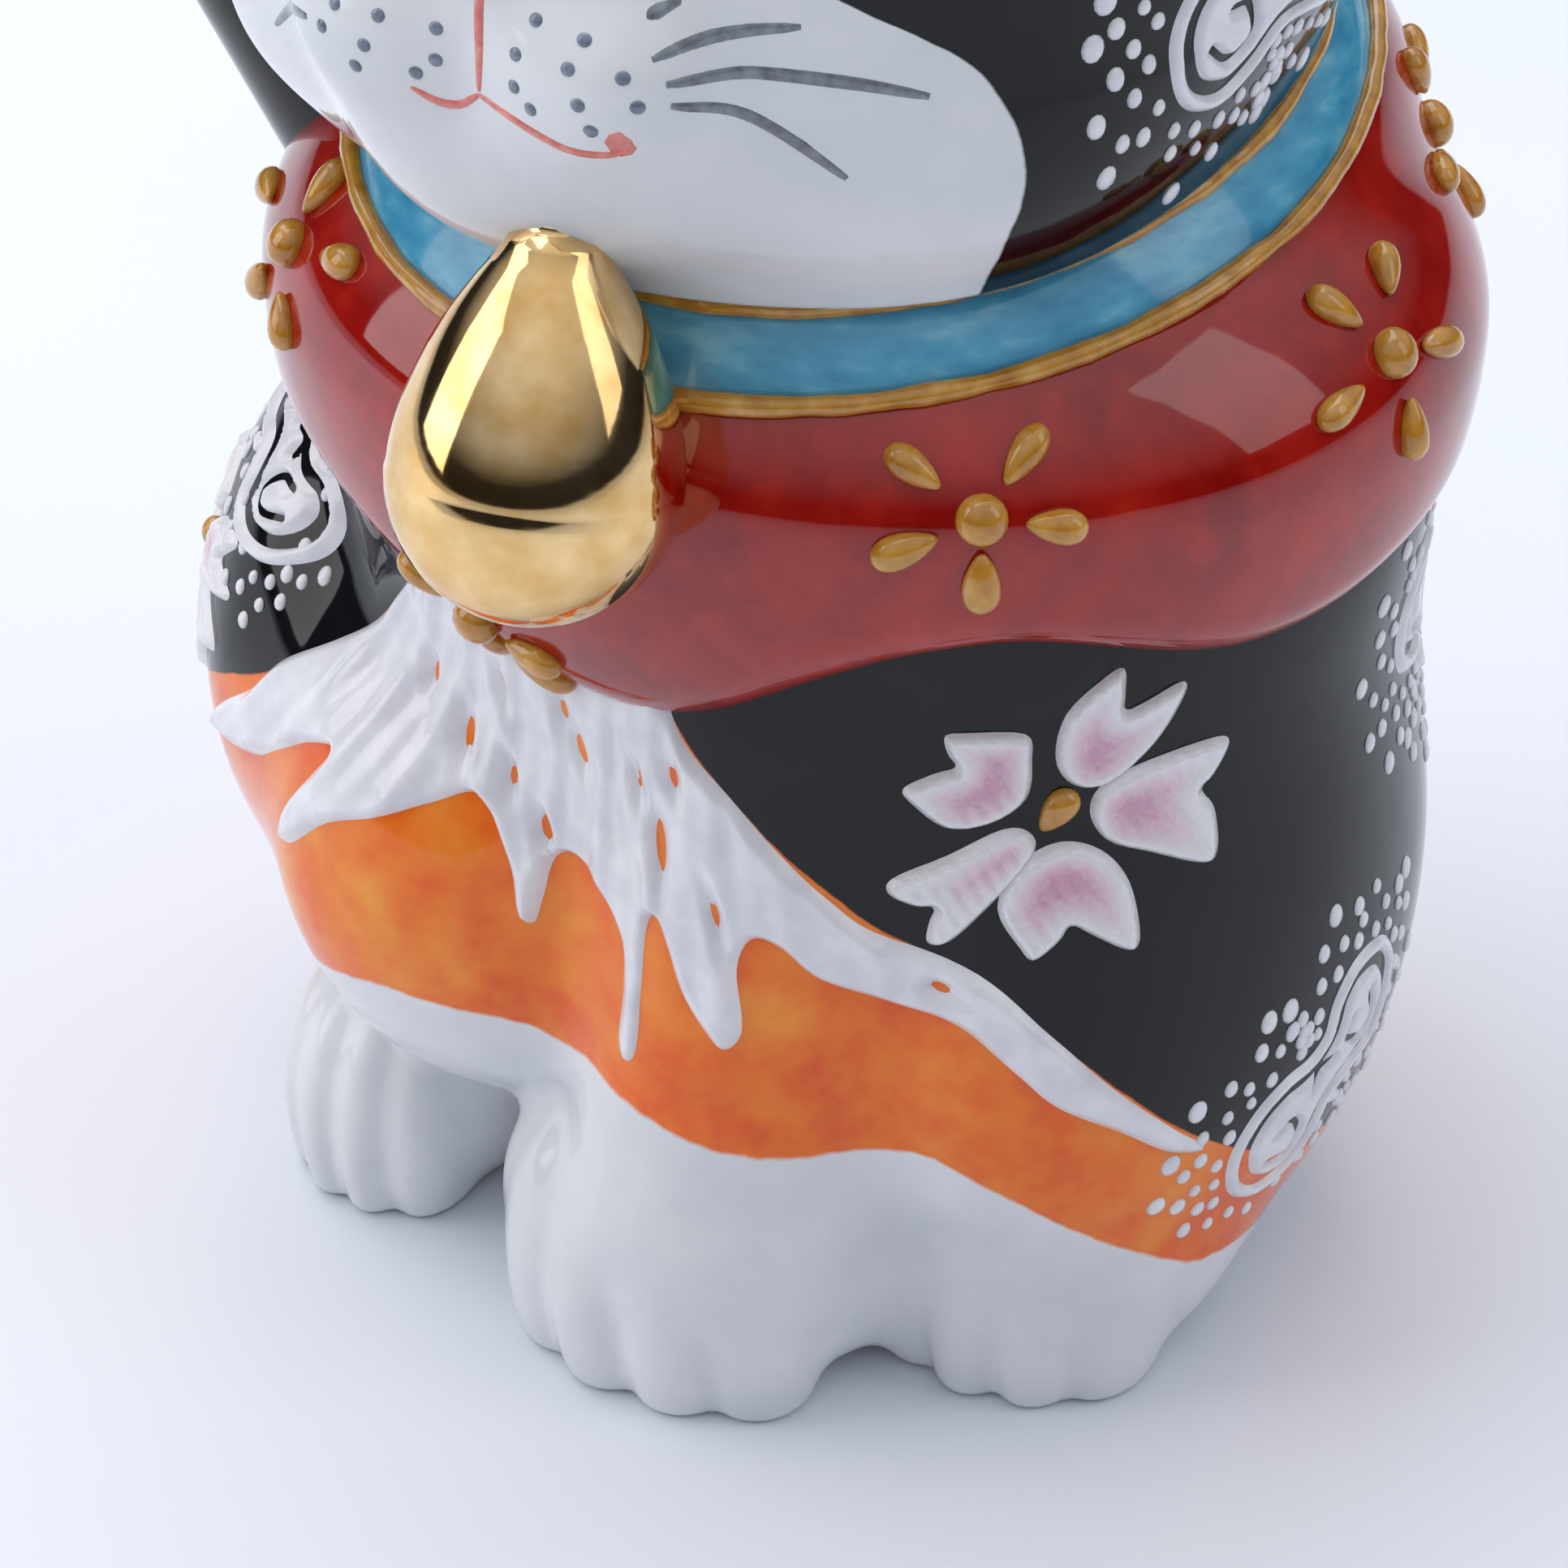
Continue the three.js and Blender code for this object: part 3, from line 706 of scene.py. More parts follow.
def make_bell():
    """A pear-shaped bell drawn up to a small knob, in two castings that meet above its shoulder."""
    top = BELL_PROFILE[-1][0]
    swing = np.linspace(0.05, math.pi / 2, 24)
    outline = [(-BELL_R * math.cos(t), BELL_R * math.sin(t)) for t in swing]
    outline += [(z, min(smooth_line(z, BELL_PROFILE, 1.2), BELL_R)) for z in np.arange(0.5, top + 0.01, 0.25)]
    knob = [(top + 0.5, 2.1), (top + 0.8, 1.85), (top + 1.1, 1.95), (top + 1.6, 2.0), (top + 2.1, 1.65),
            (top + 2.4, 1.1), (top + 2.55, 0.5), (top + 2.6, 0)]
    rim, sharp = smooth_line(BELL_SPLIT, BELL_PROFILE, 1.2), 0.01
    seat = [(BELL_SPLIT - sharp, rim), (BELL_SPLIT, rim - sharp), (BELL_SPLIT, 0)]
    lower = [(-BELL_R, 0)] + [q for q in outline if q[0] < BELL_SPLIT - 0.1] + seat
    upper = seat[:0:-1] + [(BELL_SPLIT + sharp, rim)] + [q for q in outline if q[0] > BELL_SPLIT + 0.1] + knob
    whole = np.array([(-BELL_R, 0)] + outline + knob)
    for name, profile, node in (("bell_bowl", lower, "bell"), ("bell_shoulder", upper, "bell_crown")):
        points, faces = lathe(profile, 120)
        steep = [np.interp(points[:, 2] + e, *whole.T) for e in (-0.06, 0.06)]
        swell = (steep[1] - steep[0]) / 0.12
        reach = np.maximum(np.hypot(points[:, 0], points[:, 1]), 1e-9)
        normals = np.stack([points[:, 0] / reach, points[:, 1] / reach, -swell], 1)
        normals[0], normals[-1] = (0, 0, -1), (0, 0, 1)
        normals = bell_place(normals / np.linalg.norm(normals, axis=1)[:, None]) - BELL_MID
        finish_piece(new_object(name, bell_place(points), faces, GOLD, normals), "gold_lustre", node)


# ---- raised enamel: a flat outline laid on a form and built up into a rounded layer ----
def spline(knots, closed=True, steps=6):
    """A smooth line through given knots."""
    k = np.array(knots, float)
    if closed:
        a, b, c, d = np.roll(k, 1, 0), k, np.roll(k, -1, 0), np.roll(k, -2, 0)
    else:
        k = np.concatenate([[2 * k[0] - k[1]], k, [2 * k[-1] - k[-2]]])
        a, b, c, d = k[:-3], k[1:-2], k[2:-1], k[3:]
    rows = []
    for t in np.linspace(0, 1, steps, endpoint=False):
        square, cube = 2 * a - 5 * b + 4 * c - d, 3 * b - a - 3 * c + d
        rows.append(0.5 * (2 * b + (c - a) * t + square * t ** 2 + cube * t ** 3))
    line_points = np.stack(rows, 1).reshape(-1, k.shape[1])
    return line_points if closed else np.concatenate([line_points, [k[-2]]])


def line_distance(path, x, y, closed):
    best = np.full(x.shape, 1e9)
    ends = np.roll(path, -1, 0) if closed else path[1:]
    for (ax, ay), (bx, by) in zip(path, ends):
        dx, dy = bx - ax, by - ay
        t = np.clip(((x - ax) * dx + (y - ay) * dy) / max(dx * dx + dy * dy, 1e-9), 0, 1)
        best = np.minimum(best, np.hypot(x - ax - t * dx, y - ay - t * dy))
    return best


def area(path):
    """Signed distance into a closed outline."""
    def depth(x, y):
        inside = np.zeros(x.shape, bool)
        for (ax, ay), (bx, by) in zip(path, np.roll(path, -1, 0)):
            crosses = (ay > y) != (by > y)
            inside ^= crosses & (x < (bx - ax) * (y - ay) / (by - ay if by != ay else 1e-9) + ax)
        return np.where(inside, 1, -1) * line_distance(path, x, y, True)
    return depth


def stroke(path, width, closed=False):
    return lambda x, y: width / 2 - line_distance(path, x, y, closed)


def plotted(mask, low, high, step=0.12):
    """The mask worked out once on a fine flat grid, then looked up."""
    x = np.arange(low[0], high[0] + step, step)
    y = np.arange(low[1], high[1] + step, step)
    grid = mask(*np.meshgrid(x, y, indexing="ij"))

    def look(a, b):
        i = np.clip((a - low[0]) / step, 0, len(x) - 1.001)
        j = np.clip((b - low[1]) / step, 0, len(y) - 1.001)
        i0, j0 = i.astype(int), j.astype(int)
        s, t = i - i0, j - j0
        return ((grid[i0, j0] * (1 - s) + grid[i0 + 1, j0] * s) * (1 - t)
                + (grid[i0, j0 + 1] * (1 - s) + grid[i0 + 1, j0 + 1] * s) * t)
    return look


def tangent_frame(centre, out):
    """Directions across and up a surface at a point on it."""
    n = np.array(out, float)
    n /= np.linalg.norm(n)
    side = np.cross((0, 0, 1), n)
    side /= np.linalg.norm(side)
    return np.array(centre, float), side, np.cross(n, side), n


def flat_on(frame_at):
    centre, side, up, _ = frame_at
    return lambda p: [sum((p[i] - centre[i]) * axis[i] for i in range(3)) for axis in (side, up)]


def box_round(frame_at, low, high, back, front):
    """The upright box that holds a flat outline's own box, from behind its plane to before it."""
    centre, side, up, out = frame_at
    corners = [centre + a * side + b * up + c * out for a in (low[0], high[0]) for b in (low[1], high[1])
               for c in (back, front)]
    return np.min(corners, 0), np.max(corners, 0)


def unrolled(p):
    return around(p), p[2]


def enamel(name, form, where, look, box, height, edge, material, slot, step, nodes=(), texture=None, floats=None):
    """Enamel laid on a form inside the mask, rounded off over the edge width."""

    def layer(p):
        d = form(p)
        a, b = where(p)
        m = look(a, b)
        full = np.clip(m / edge, -1, 1)
        rise = np.where(full > 0, np.sin(full * math.pi / 2), full * 1.5)
        lift = height * rise
        if texture is not None:
            lift = lift + texture(a, b) * np.clip(m / edge, 0, 1)
        return np.maximum(np.maximum(d - lift, -d - 0.7), -m * 0.7 - 0.6)

    at, quads, normals = mesh_of(layer, *box, step * ENAMEL_COARSE)
    values = {key: fn(*where(at.T)) for key, fn in (floats or {}).items()}
    obj = new_object(name, at, quads, material, normals, values)
    return finish_piece(obj, slot, *nodes)


DRIFT = [(-24.6, 48.2), (-21, 53), (-14, 60), (-4, 62), (2, 58), (4.8, 52.2), (8.2, 48.9), (11.5, 45.3), (14.5, 42.2),
         (17.4, 39.8), (23.4, 37.6), (27.2, 33.6), (30.6, 29.2), (34.6, 24.4), (37, 21.6), (34.4, 22.6), (31.1, 25.6),
         (27.5, 28.3), (25.3, 30.9), (22.3, 33.9), (18.5, 34.8), (14.1, 36.4), (11.6, 38.7), (9.8, 39.2), (8.9, 37),
         (9.3, 33.6), (9.2, 32), (8.2, 31), (7, 32.2), (5.4, 34.4), (4.2, 37), (3.1, 38.8), (2.4, 37.4), (2.35, 33),
         (2.3, 29), (1.5, 27.7), (0.7, 28.9), (0.8, 32.5), (0.3, 35.8), (-1.4, 37.7), (-4.2, 39.5), (-6.1, 38.9),
         (-6.6, 36), (-7, 34), (-7.9, 34.6), (-8.8, 38), (-11.4, 42), (-14, 40.9), (-17, 38.8), (-20, 36.9),
         (-23, 33.4),
         (-24.8, 32.6), (-24.5, 35), (-22.6, 38.6), (-21.6, 41.2), (-24, 40.2), (-27, 37.6), (-30, 34.9), (-34, 32.6),
         (-37, 31.6), (-36.4, 33.2), (-34, 36.2), (-31.6, 39), (-29.9, 42.4), (-27, 45.6)]
DRIFT_HOLES = [  # around, height, half width, half length, lean
    (-17, 48.4, 0.3, 0.7, 0.2), (-13.3, 45.6, 0.32, 1.1, 0.2), (-9.7, 43.8, 0.25, 0.8, 0.25),
    (-6.9, 40.8, 0.4, 0.9, 0.3),
    (-5.1, 50.6, 0.28, 0.9, 0.1), (-3.8, 47.9, 0.42, 1.1, 0.2), (4.2, 49.2, 0.3, 0.8, 0.2), (3.3, 43.9, 0.38, 1.9, 0.1),
    (1.4, 48, 0.22, 0.7, 0.2), (21.3, 36.4, 0.3, 0.6, 1.3), (-10.5, 50.5, 0.25, 0.8, 0.2), (7.4, 40.5, 0.25, 1.0, 0.3),
]


def drift_mask(x, y):
    m = area(spline(DRIFT))(x, y)
    for at, z, wide, long, lean in DRIFT_HOLES:
        s, t = x - at, y - z
        a, b = s * math.cos(lean) + t * math.sin(lean), -s * math.sin(lean) + t * math.cos(lean)
        m = np.minimum(m, (np.sqrt((a / wide) ** 2 + (b / long) ** 2) - 1) * wide)
    return m


def drift_streaks(a, b):
    """Brush marks that fan out below the bib."""
    across = (a + 3) / (1 + 0.018 * np.maximum(62 - b, 0))
    wave = np.sin(1.9 * across + 0.5 * np.sin(0.31 * b)) + 0.6 * np.sin(3.7 * across - 0.22 * b + 1.3)
    return 0.13 * wave + 0.06 * np.sin(0.9 * b + 1.7 * across)


def make_drift():
    look = plotted(drift_mask, (-42, 18), (42, 66))
    enamel("snow_drift", body_skin, unrolled, look, ((-40, -42, 19), (36, -6, 63)), ENAMEL_RISE, 0.85, WHITE,
           "white_enamel", 0.4, ["snow_drift_enamel"], drift_streaks)


PETALS = [  # turn in degrees, then (along, across): left side, left lobe, notch, right lobe, right side
    (31, (6.4, -3.3), (10.7, -1.8), (8.1, 0), (11.2, 2.3), (6.8, 3.2)),
    (90, (6.6, -3.1), (11.2, -2.8), (9.4, 0), (10.6, 4.4), (6.2, 3.6)),
    (173, (5.8, -4.0), (10.4, -3.5), (7.8, 0), (9.7, 2.6), (6.0, 4.4)),
    (228, (8.4, -2.1), (12.0, -1.5), (10.0, 0), (11.5, 2.5), (7.0, 2.2)),
    (299, (5.4, -4.2), (9.2, -2.8), (7.1, 0), (8.9, 1.7), (4.6, 4.1)),
]
PETAL_REACH = 13.5


def petal_outline(turn, left, left_lobe, notch, right_lobe, right):
    """From the pointed heel out to two lobes with a notch between them."""
    knots = [(2.1, 0), (3.2, left[1] * 0.62), left, (left_lobe[0] - 0.9, left_lobe[1] - 0.75), left_lobe,
             (notch[0] + 0.9, left_lobe[1] * 0.35), notch, (notch[0] + 0.9, right_lobe[1] * 0.35), right_lobe,
             (right_lobe[0] - 0.9, right_lobe[1] + 0.75), right, (3.2, right[1] * 0.62)]
    a = math.radians(turn)
    path = spline(knots, True, 4)
    return np.stack([path[:, 0] * math.sin(a) + path[:, 1] * math.cos(a),
                     path[:, 0] * math.cos(a) - path[:, 1] * math.sin(a)], 1)


def make_blossom(name, centre, out, scale, spin, nodes):
    """Five notched petals round an ochre bead."""
    at = tangent_frame(settled(centre, body_skin), out)
    reach = PETAL_REACH * scale
    for k, (turn, *shape) in enumerate(PETALS):
        path = petal_outline(turn + spin, *shape) * scale
        low, high = path.min(0) - 1.5, path.max(0) + 1.5
        look = plotted(area(path), low, high)
        a = math.radians(turn + spin)

        def blush(s, t, look=look, a=a):
            along = (s * math.sin(a) + t * math.cos(a)) / scale
            return np.clip((look(s, t) - 0.4) / 2.0, 0, 1) * np.clip((10.2 - along) / 6, 0, 1)

        def dish(s, t, look=look):
            return -0.22 * np.clip((look(s, t) - 0.7) / 1.2, 0, 1) + 0.04 * np.sin(5 * s + 3 * t)

        box = box_round(at, low, high, -0.55 * reach, 0.12 * reach)
        enamel(f"{name}_petal_{k + 1}", body_skin, flat_on(at), look, box, ENAMEL_RISE, 0.6, PETAL, "pink_enamel", 0.25,
               [f"blossom_petal_{k + 1}"] if nodes else [], dish, {"petal_depth": blush})
    heart = [(at[0] + 0.1 * at[1] + 0.1 * at[2], at[3], at[2] * 0.8 + at[1] * 0.6, (1.35, 1.7, 1.15))]
    strew(name + "_heart", heart, OCHRE, "ochre_enamel", ["blossom_bead"] if nodes else [])


def settled(point, form, turns=8):
    """The point moved square onto the form's surface."""
    at = np.atleast_2d(np.array(point, float))
    for _ in range(turns):
        at = at - gradient(form, at) * form(at.T)[:, None]
    return at if np.ndim(point) > 1 else at[0]


# ---- what repeats: beads, dots and cords, by geometry nodes ----
def new_tree(name, **inputs):
    """A geometry tree with its named inputs: the tree, their identifiers and their node."""
    tree = bpy.data.node_groups.new(name, "GeometryNodeTree")
    tree.interface.new_socket(name="Geometry", in_out="INPUT", socket_type="NodeSocketGeometry")
    tree.interface.new_socket(name="Geometry", in_out="OUTPUT", socket_type="NodeSocketGeometry")
    ids = {}
    for label, value in inputs.items():
        kind = value if isinstance(value, str) else "Float"
        socket = tree.interface.new_socket(name=label, in_out="INPUT", socket_type="NodeSocket" + kind)
        if kind == "Float":
            socket.default_value = value
        ids[label] = socket.identifier
    return tree, ids, add(tree, "NodeGroupInput")


def nodes_end(tree, geometry, material):
    """Every tree ends with real geometry in its own material."""
    real = add(tree, "GeometryNodeRealizeInstances", {0: geometry})
    smooth = add(tree, "GeometryNodeSetShadeSmooth", {0: real.outputs[0]})
    done = add(tree, "GeometryNodeSetMaterial", {0: smooth.outputs[0], "Material": material})
    out = add(tree, "NodeGroupOutput")
    tree.links.new(done.outputs[0], out.inputs[0])


def swept(tree, path, turns, thick, material, caps):
    """A round section swept along a path, as thick as it is told point by point."""
    section = add(tree, "GeometryNodeCurvePrimitiveCircle")
    section.inputs["Resolution"].default_value = turns
    section.inputs["Radius"].default_value = 1.0
    tube = add(tree, "GeometryNodeCurveToMesh", {0: path, 1: section.outputs[0], "Scale": thick})
    tube.inputs["Fill Caps"].default_value = caps
    nodes_end(tree, tube.outputs[0], material)


def strew_tree():
    """One bead on every point, turned and sized by the point's own values."""
    tree, ids, inp = new_tree("strew beads", Bead="Object", Finish="Material", Size=1.0)
    shape = add(tree, "GeometryNodeObjectInfo", {0: inp.outputs[1]})
    turn = add(tree, "GeometryNodeInputNamedAttribute", data_type="FLOAT_VECTOR", in_0="turn")
    size = add(tree, "GeometryNodeInputNamedAttribute", data_type="FLOAT_VECTOR", in_0="size")
    spin = add(tree, "FunctionNodeEulerToRotation", {0: turn.outputs[0]})
    scaled = add(tree, "ShaderNodeVectorMath", {0: size.outputs[0], "Scale": inp.outputs[3]}, operation="SCALE")
    points = add(tree, "GeometryNodeMeshToPoints", {0: inp.outputs[0]})
    placed = {"Points": points.outputs[0], "Instance": shape.outputs["Geometry"], "Rotation": spin.outputs[0],
              "Scale": scaled.outputs[0]}
    copies = add(tree, "GeometryNodeInstanceOnPoints", placed)
    nodes_end(tree, copies.outputs[0], inp.outputs[2])
    return tree, ids


def cord_tree():
    """A trailed cord: an uneven bead of enamel along a closed line."""
    tree, ids, inp = new_tree("trailed cord", Finish="Material", Thickness=0.0007, Wander=0.0003, Unevenness=0.6)
    where = add(tree, "GeometryNodeInputPosition")
    slow, fast = (add(tree, "ShaderNodeTexNoise", {"Vector": where.outputs[0]}) for _ in range(2))
    slow.inputs["Scale"].default_value = 90.0
    fast.inputs["Scale"].default_value = 260.0
    centred = add(tree, "ShaderNodeVectorMath", {0: slow.outputs["Color"]}, operation="SUBTRACT")
    centred.inputs[1].default_value = (0.5, 0.5, 0.5)
    offset = add(tree, "ShaderNodeVectorMath", {0: centred.outputs[0], "Scale": inp.outputs[3]}, operation="SCALE")
    path = add(tree, "GeometryNodeMeshToCurve", {0: inp.outputs[0]})
    moved = add(tree, "GeometryNodeSetPosition", {0: path.outputs[0], "Offset": offset.outputs[0]})
    uneven_by = math_node(tree, "MULTIPLY", math_node(tree, "SUBTRACT", fast.outputs[0], 0.5), inp.outputs[4])
    thick = math_node(tree, "MULTIPLY", math_node(tree, "ADD", uneven_by, 1.0), inp.outputs[2])
    swept(tree, moved.outputs[0], 12, thick, inp.outputs[1], False)
    return tree, ids


def stroke_tree():
    """A brush stroke: a tube along a line, its thickness from the line's own values."""
    tree, ids, inp = new_tree("brush stroke", Finish="Material", Weight=1.0)
    path = add(tree, "GeometryNodeMeshToCurve", {0: inp.outputs[0]})
    thick = add(tree, "GeometryNodeInputNamedAttribute", data_type="FLOAT", in_0="thick")
    scaled = math_node(tree, "MULTIPLY", thick.outputs[0], inp.outputs[2])
    swept(tree, path.outputs[0], 24, scaled, inp.outputs[1], True)
    return tree, ids


STREW = strew_tree()
CORD = cord_tree()
STROKE = stroke_tree()


def seed_object(name, points, edges=()):
    """Points in mm, and perhaps the lines between them, for a tree to grow on."""
    mesh = bpy.data.meshes.new(name + "_seed")
    mesh.from_pydata((np.asarray(points) * MM).tolist(), list(edges), [])
    source = bpy.data.objects.new(name + "_source", mesh)
    bpy.context.scene.collection.objects.link(source)
    return source


def grown(source, name, grower, **values):
    """The tree's result as a plain mesh object; the source is thrown away."""
    tree, ids = grower
    modifier = source.modifiers.new("grow", "NODES")
    modifier.node_group = tree
    for label, value in values.items():
        modifier[ids[label]] = value
    bpy.context.view_layer.update()
    evaluated = source.evaluated_get(bpy.context.evaluated_depsgraph_get())
    mesh = bpy.data.meshes.new_from_object(evaluated)
    bpy.data.objects.remove(source)
    mesh.name = name
    obj = bpy.data.objects.new(name, mesh)
    bpy.context.scene.collection.objects.link(obj)
    return obj


def bead_shape(name, taper, rows, turns):
    """A drop: its long axis along Y, tapered to the -Y end."""
    swing = np.linspace(0, math.pi, rows + 1)
    points, faces = lathe([(-math.cos(t), math.sin(t) * (1 - taper * (0.5 + 0.5 * math.cos(t)) ** 1.2)) for t in swing],
                          turns)
    mesh = bpy.data.meshes.new(name)
    mesh.from_pydata((points[:, [0, 2, 1]] * (1, 1, -1)).tolist(), [], faces)
    return bpy.data.objects.new(name, mesh)


DROP = bead_shape("drop", 0.52, 12, 16)
DOT = bead_shape("dot", 0.0, 6, 8)
CORE = bead_shape("core", 0.0, 10, 16)


def strew(name, beads, material, slot, nodes=(), shape=None):
    """Beads given as (point, outward, long direction, half sizes in mm across, along, high)."""
    source = seed_object(name, [bead[0] for bead in beads])
    turns, sizes = [], []
    for _, out, long, size in beads:
        z = Vector(out).normalized()
        x = Vector(long).cross(z).normalized()
        turns.append(Matrix((x, z.cross(x), z)).transposed().to_euler("XYZ"))
        sizes.append([v * MM for v in size])
    for key, rows in (("turn", turns), ("size", sizes)):
        layer = source.data.attributes.new(key, "FLOAT_VECTOR", "POINT")
        layer.data.foreach_set("vector", np.array([tuple(r) for r in rows], np.float32).ravel())
    return finish_piece(grown(source, name, STREW, Bead=shape or DROP, Finish=material, Size=1.0), slot, *nodes)


def make_cords():
    angle = np.linspace(0, 2 * math.pi, 260, endpoint=False)
    for level, height, radii in (("lower", 0.0, COLLAR_LOW), ("upper", COLLAR_RISE, COLLAR_TOP)):
        name = f"cord_{level}_trail"
        ring = on_collar(angle, height, radii)
        source = seed_object(name, ring, [(k, (k + 1) % len(ring)) for k in range(len(ring))])
        obj = grown(source, name, CORD, Finish=OCHRE, Thickness=0.00068, Wander=0.0007, Unevenness=0.9)
        finish_piece(obj, "ochre_enamel", "collar_cord_" + level)


BIB_FLOWERS = {  # angle, height, then each bead's (direction from up towards the cat's left, distance)
    "a": (-49.6, 74.2, [(-94, 9.9), (-5, 4.4), (68, 7.1), (145, 5.1), (-139, 6.8)]),
    "b": (-15, 57.6, [(-66, 4.6), (35, 4.0), (108, 4.4), (140, 5.4), (-170, 3.0)]),
    "c": (39.1, 72.3, [(-51, 5.1), (35, 4.6), (98, 4.5), (180, 4.2), (-111, 4.9)]),
    "d": (84.2, 75.0, [(-29, 5.0), (39, 5.8), (106, 5.1), (-176, 5.1), (-98, 6.0)]),
    "e": (124, 77.5, [(-20, 5.2), (50, 5.0), (122, 5.2), (-165, 5.0), (-92, 5.6)]),
    "f": (166, 76.5, [(8, 5.0), (78, 5.2), (150, 5.0), (-140, 5.2), (-66, 5.0)]),
    "g": (-150, 76.5, [(-14, 5.0), (60, 5.2), (130, 5.0), (-158, 5.2), (-85, 5.0)]),
    "h": (-108, 74.5, [(5, 5.0), (75, 5.2), (147, 5.0), (-141, 5.2), (-70, 5.0)]),
}


def make_bib_flowers():
    """Teardrops of ochre enamel with their points towards a round core."""
    rng = np.random.default_rng(7)
    cores = []
    for key, (angle, height, petals) in BIB_FLOWERS.items():
        a = math.radians(angle)
        core = np.array([50 * math.sin(a), -50 * math.cos(a), height])
        inward = np.array([-math.sin(a), math.cos(a), 0.0])
        for _ in range(40):
            core = core + inward * float(bib(core[:, None])[0]) * 0.9
        out = gradient(bib, core[None])[0]
        _, side, up, _ = tangent_frame(core, out)
        beads = []
        for turn, reach in petals:
            t = math.radians(turn)
            radial = side * math.sin(t) + up * math.cos(t)
            spot = settled(core + radial * reach, bib)
            n = gradient(bib, spot[None])[0]
            long = 1.9 + 0.35 * rng.random()
            beads.append((spot + n * 0.25, n, radial, (1.25 + 0.25 * rng.random(), long, 1.2)))
        cores.append((core + out * 0.3, out, up, (1.6, 1.6, 1.3)))
        nodes = [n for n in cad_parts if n.startswith(f"bib_flower_{key}_bead")]
        strew(f"bib_flower_{key}_beads", beads, OCHRE, "ochre_enamel", nodes)
    nodes = [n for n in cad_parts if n.endswith("_core")]
    strew("bib_flower_cores", cores, OCHRE, "ochre_enamel", nodes, CORE)


CLOUD = [(-11, 0.5), (-10.4, -3.2), (-7.4, -5.4), (-3.8, -4.9), (-1.0, -3.4), (1.8, -4.2), (4.8, -5.6), (8.2, -4.8),
         (10.8, -2.0), (10.8, 1.4), (8.4, 4.2), (5.2, 4.6), (2.6, 3.2), (0.0, 3.6), (-2.4, 5.2), (-5.8, 5.8),
         (-9.2, 4.2)]
CLOUD_CURLS = [[(-8.2, -0.6), (-6.6, -2.4), (-4.4, -1.6), (-4.4, 0.6), (-6.0, 1.2)],
               [(7.6, -0.2), (6.4, -2.4), (4.2, -2.2), (3.4, -0.2), (5.0, 0.8)],
               [(-1.6, 0.4), (0.0, 1.4), (1.6, 0.4)]]


def cloud_mask(turn, scale):
    a = math.radians(turn)
    spin = np.array([[math.cos(a), math.sin(a)], [-math.sin(a), math.cos(a)]])
    outline = spline(CLOUD) * scale @ spin
    curls = [spline(c, False) * scale @ spin for c in CLOUD_CURLS]

    def mask(x, y):
        rim = stroke(outline, 1.05, True)(x, y)
        fill = area(outline)(x, y) - 1.45
        for c in curls:
            fill = np.minimum(fill, -stroke(c, 0.5)(x, y))
        return np.maximum(rim, fill)
    return mask, outline


def make_scroll(name, form, centre, out, turn, scale, rows, clear):
    """A cloud scroll, outlined twice, with dots scattered outward from it in rows."""
    at = tangent_frame(settled(centre, form), out)
    mask, outline = cloud_mask(turn, scale)
    low, high = outline.min(0) - 1.5, outline.max(0) + 1.5
    reach = np.abs(outline).max()
    enamel(name, form, flat_on(at), plotted(mask, low, high), box_round(at, low, high, -0.6 * reach, 0.1 * reach), 0.42,
           0.5, WHITE, "white_enamel", 0.27)
    rng = np.random.default_rng(len(name) + 11)
    depth = area(outline)
    along = np.roll(outline, -1, 0) - np.roll(outline, 1, 0)
    outward = np.stack([along[:, 1], -along[:, 0]], 1)
    outward /= np.linalg.norm(outward, axis=1)[:, None]
    if depth(*(outline + outward * 0.5).T).mean() > 0:
        outward = -outward
    length = np.concatenate([[0], np.cumsum(np.linalg.norm(np.diff(outline, axis=0), axis=1))])
    beads = []
    for row, (gap, size) in enumerate(rows):
        for s in np.arange(0.9 * (row % 2), length[-1], DOT_STEP):
            i = int(np.searchsorted(length, s)) % len(outline)
            flat = outline[i] + outward[i] * gap + rng.normal(0, 0.16, 2)
            if depth(*flat[:, None])[0] > -gap * 0.8 or (row > 1 and rng.random() < 0.25):
                continue
            above = at[0] + at[1] * flat[0] + at[2] * flat[1]
            spot = settled(above, form)
            if np.linalg.norm(spot - above) > 6 or not clear(spot):
                continue
            r = size * (0.85 + 0.3 * rng.random())
            beads.append((spot, gradient(form, spot[None])[0], at[2], (r, r * 1.15, DOT_RISE)))
    strew(name + "_dots", beads, WHITE, "white_enamel", shape=DOT)


def on_body(spot):
    """Clear of the bib above and of the paws below."""
    return float(bib(spot[:, None])[0]) > 1.0 and spot[2] > 12


def on_head(spot):
    p = spot[:, None]
    return float(collar_height(p)[0]) > COLLAR_RISE + 1.2 and float(face_patch(p)[0]) < -1.4


DOT_STEP = 1.85
DOT_ROWS = [(1.8, 0.5), (3.3, 0.52), (4.8, 0.58), (6.4, 0.7)]  # distance from the scroll, dot radius
SCROLLS = [  # name, centre, outward, turn, scale, rows of dots
    ("flank_left", (36.6, -6, 22), (0.97, -0.2, -0.14), 42, 0.85, 4),
    ("side_left", (35, 12, 48), (0.93, 0.36, 0.05), -30, 0.8, 4),
    ("side_right", (-34, -13, 51), (-0.93, -0.36, 0.1), -38, 0.72, 3),
    ("back_right", (-24, 24, 30), (-0.55, 0.83, 0.0), 20, 0.85, 4),
    ("cheek_left", (31, -8, 101), (0.93, -0.28, -0.2), 12, 0.92, 4),
    ("crown", (-8, 22, 118), (-0.2, 0.8, 0.55), -15, 0.9, 4),
]


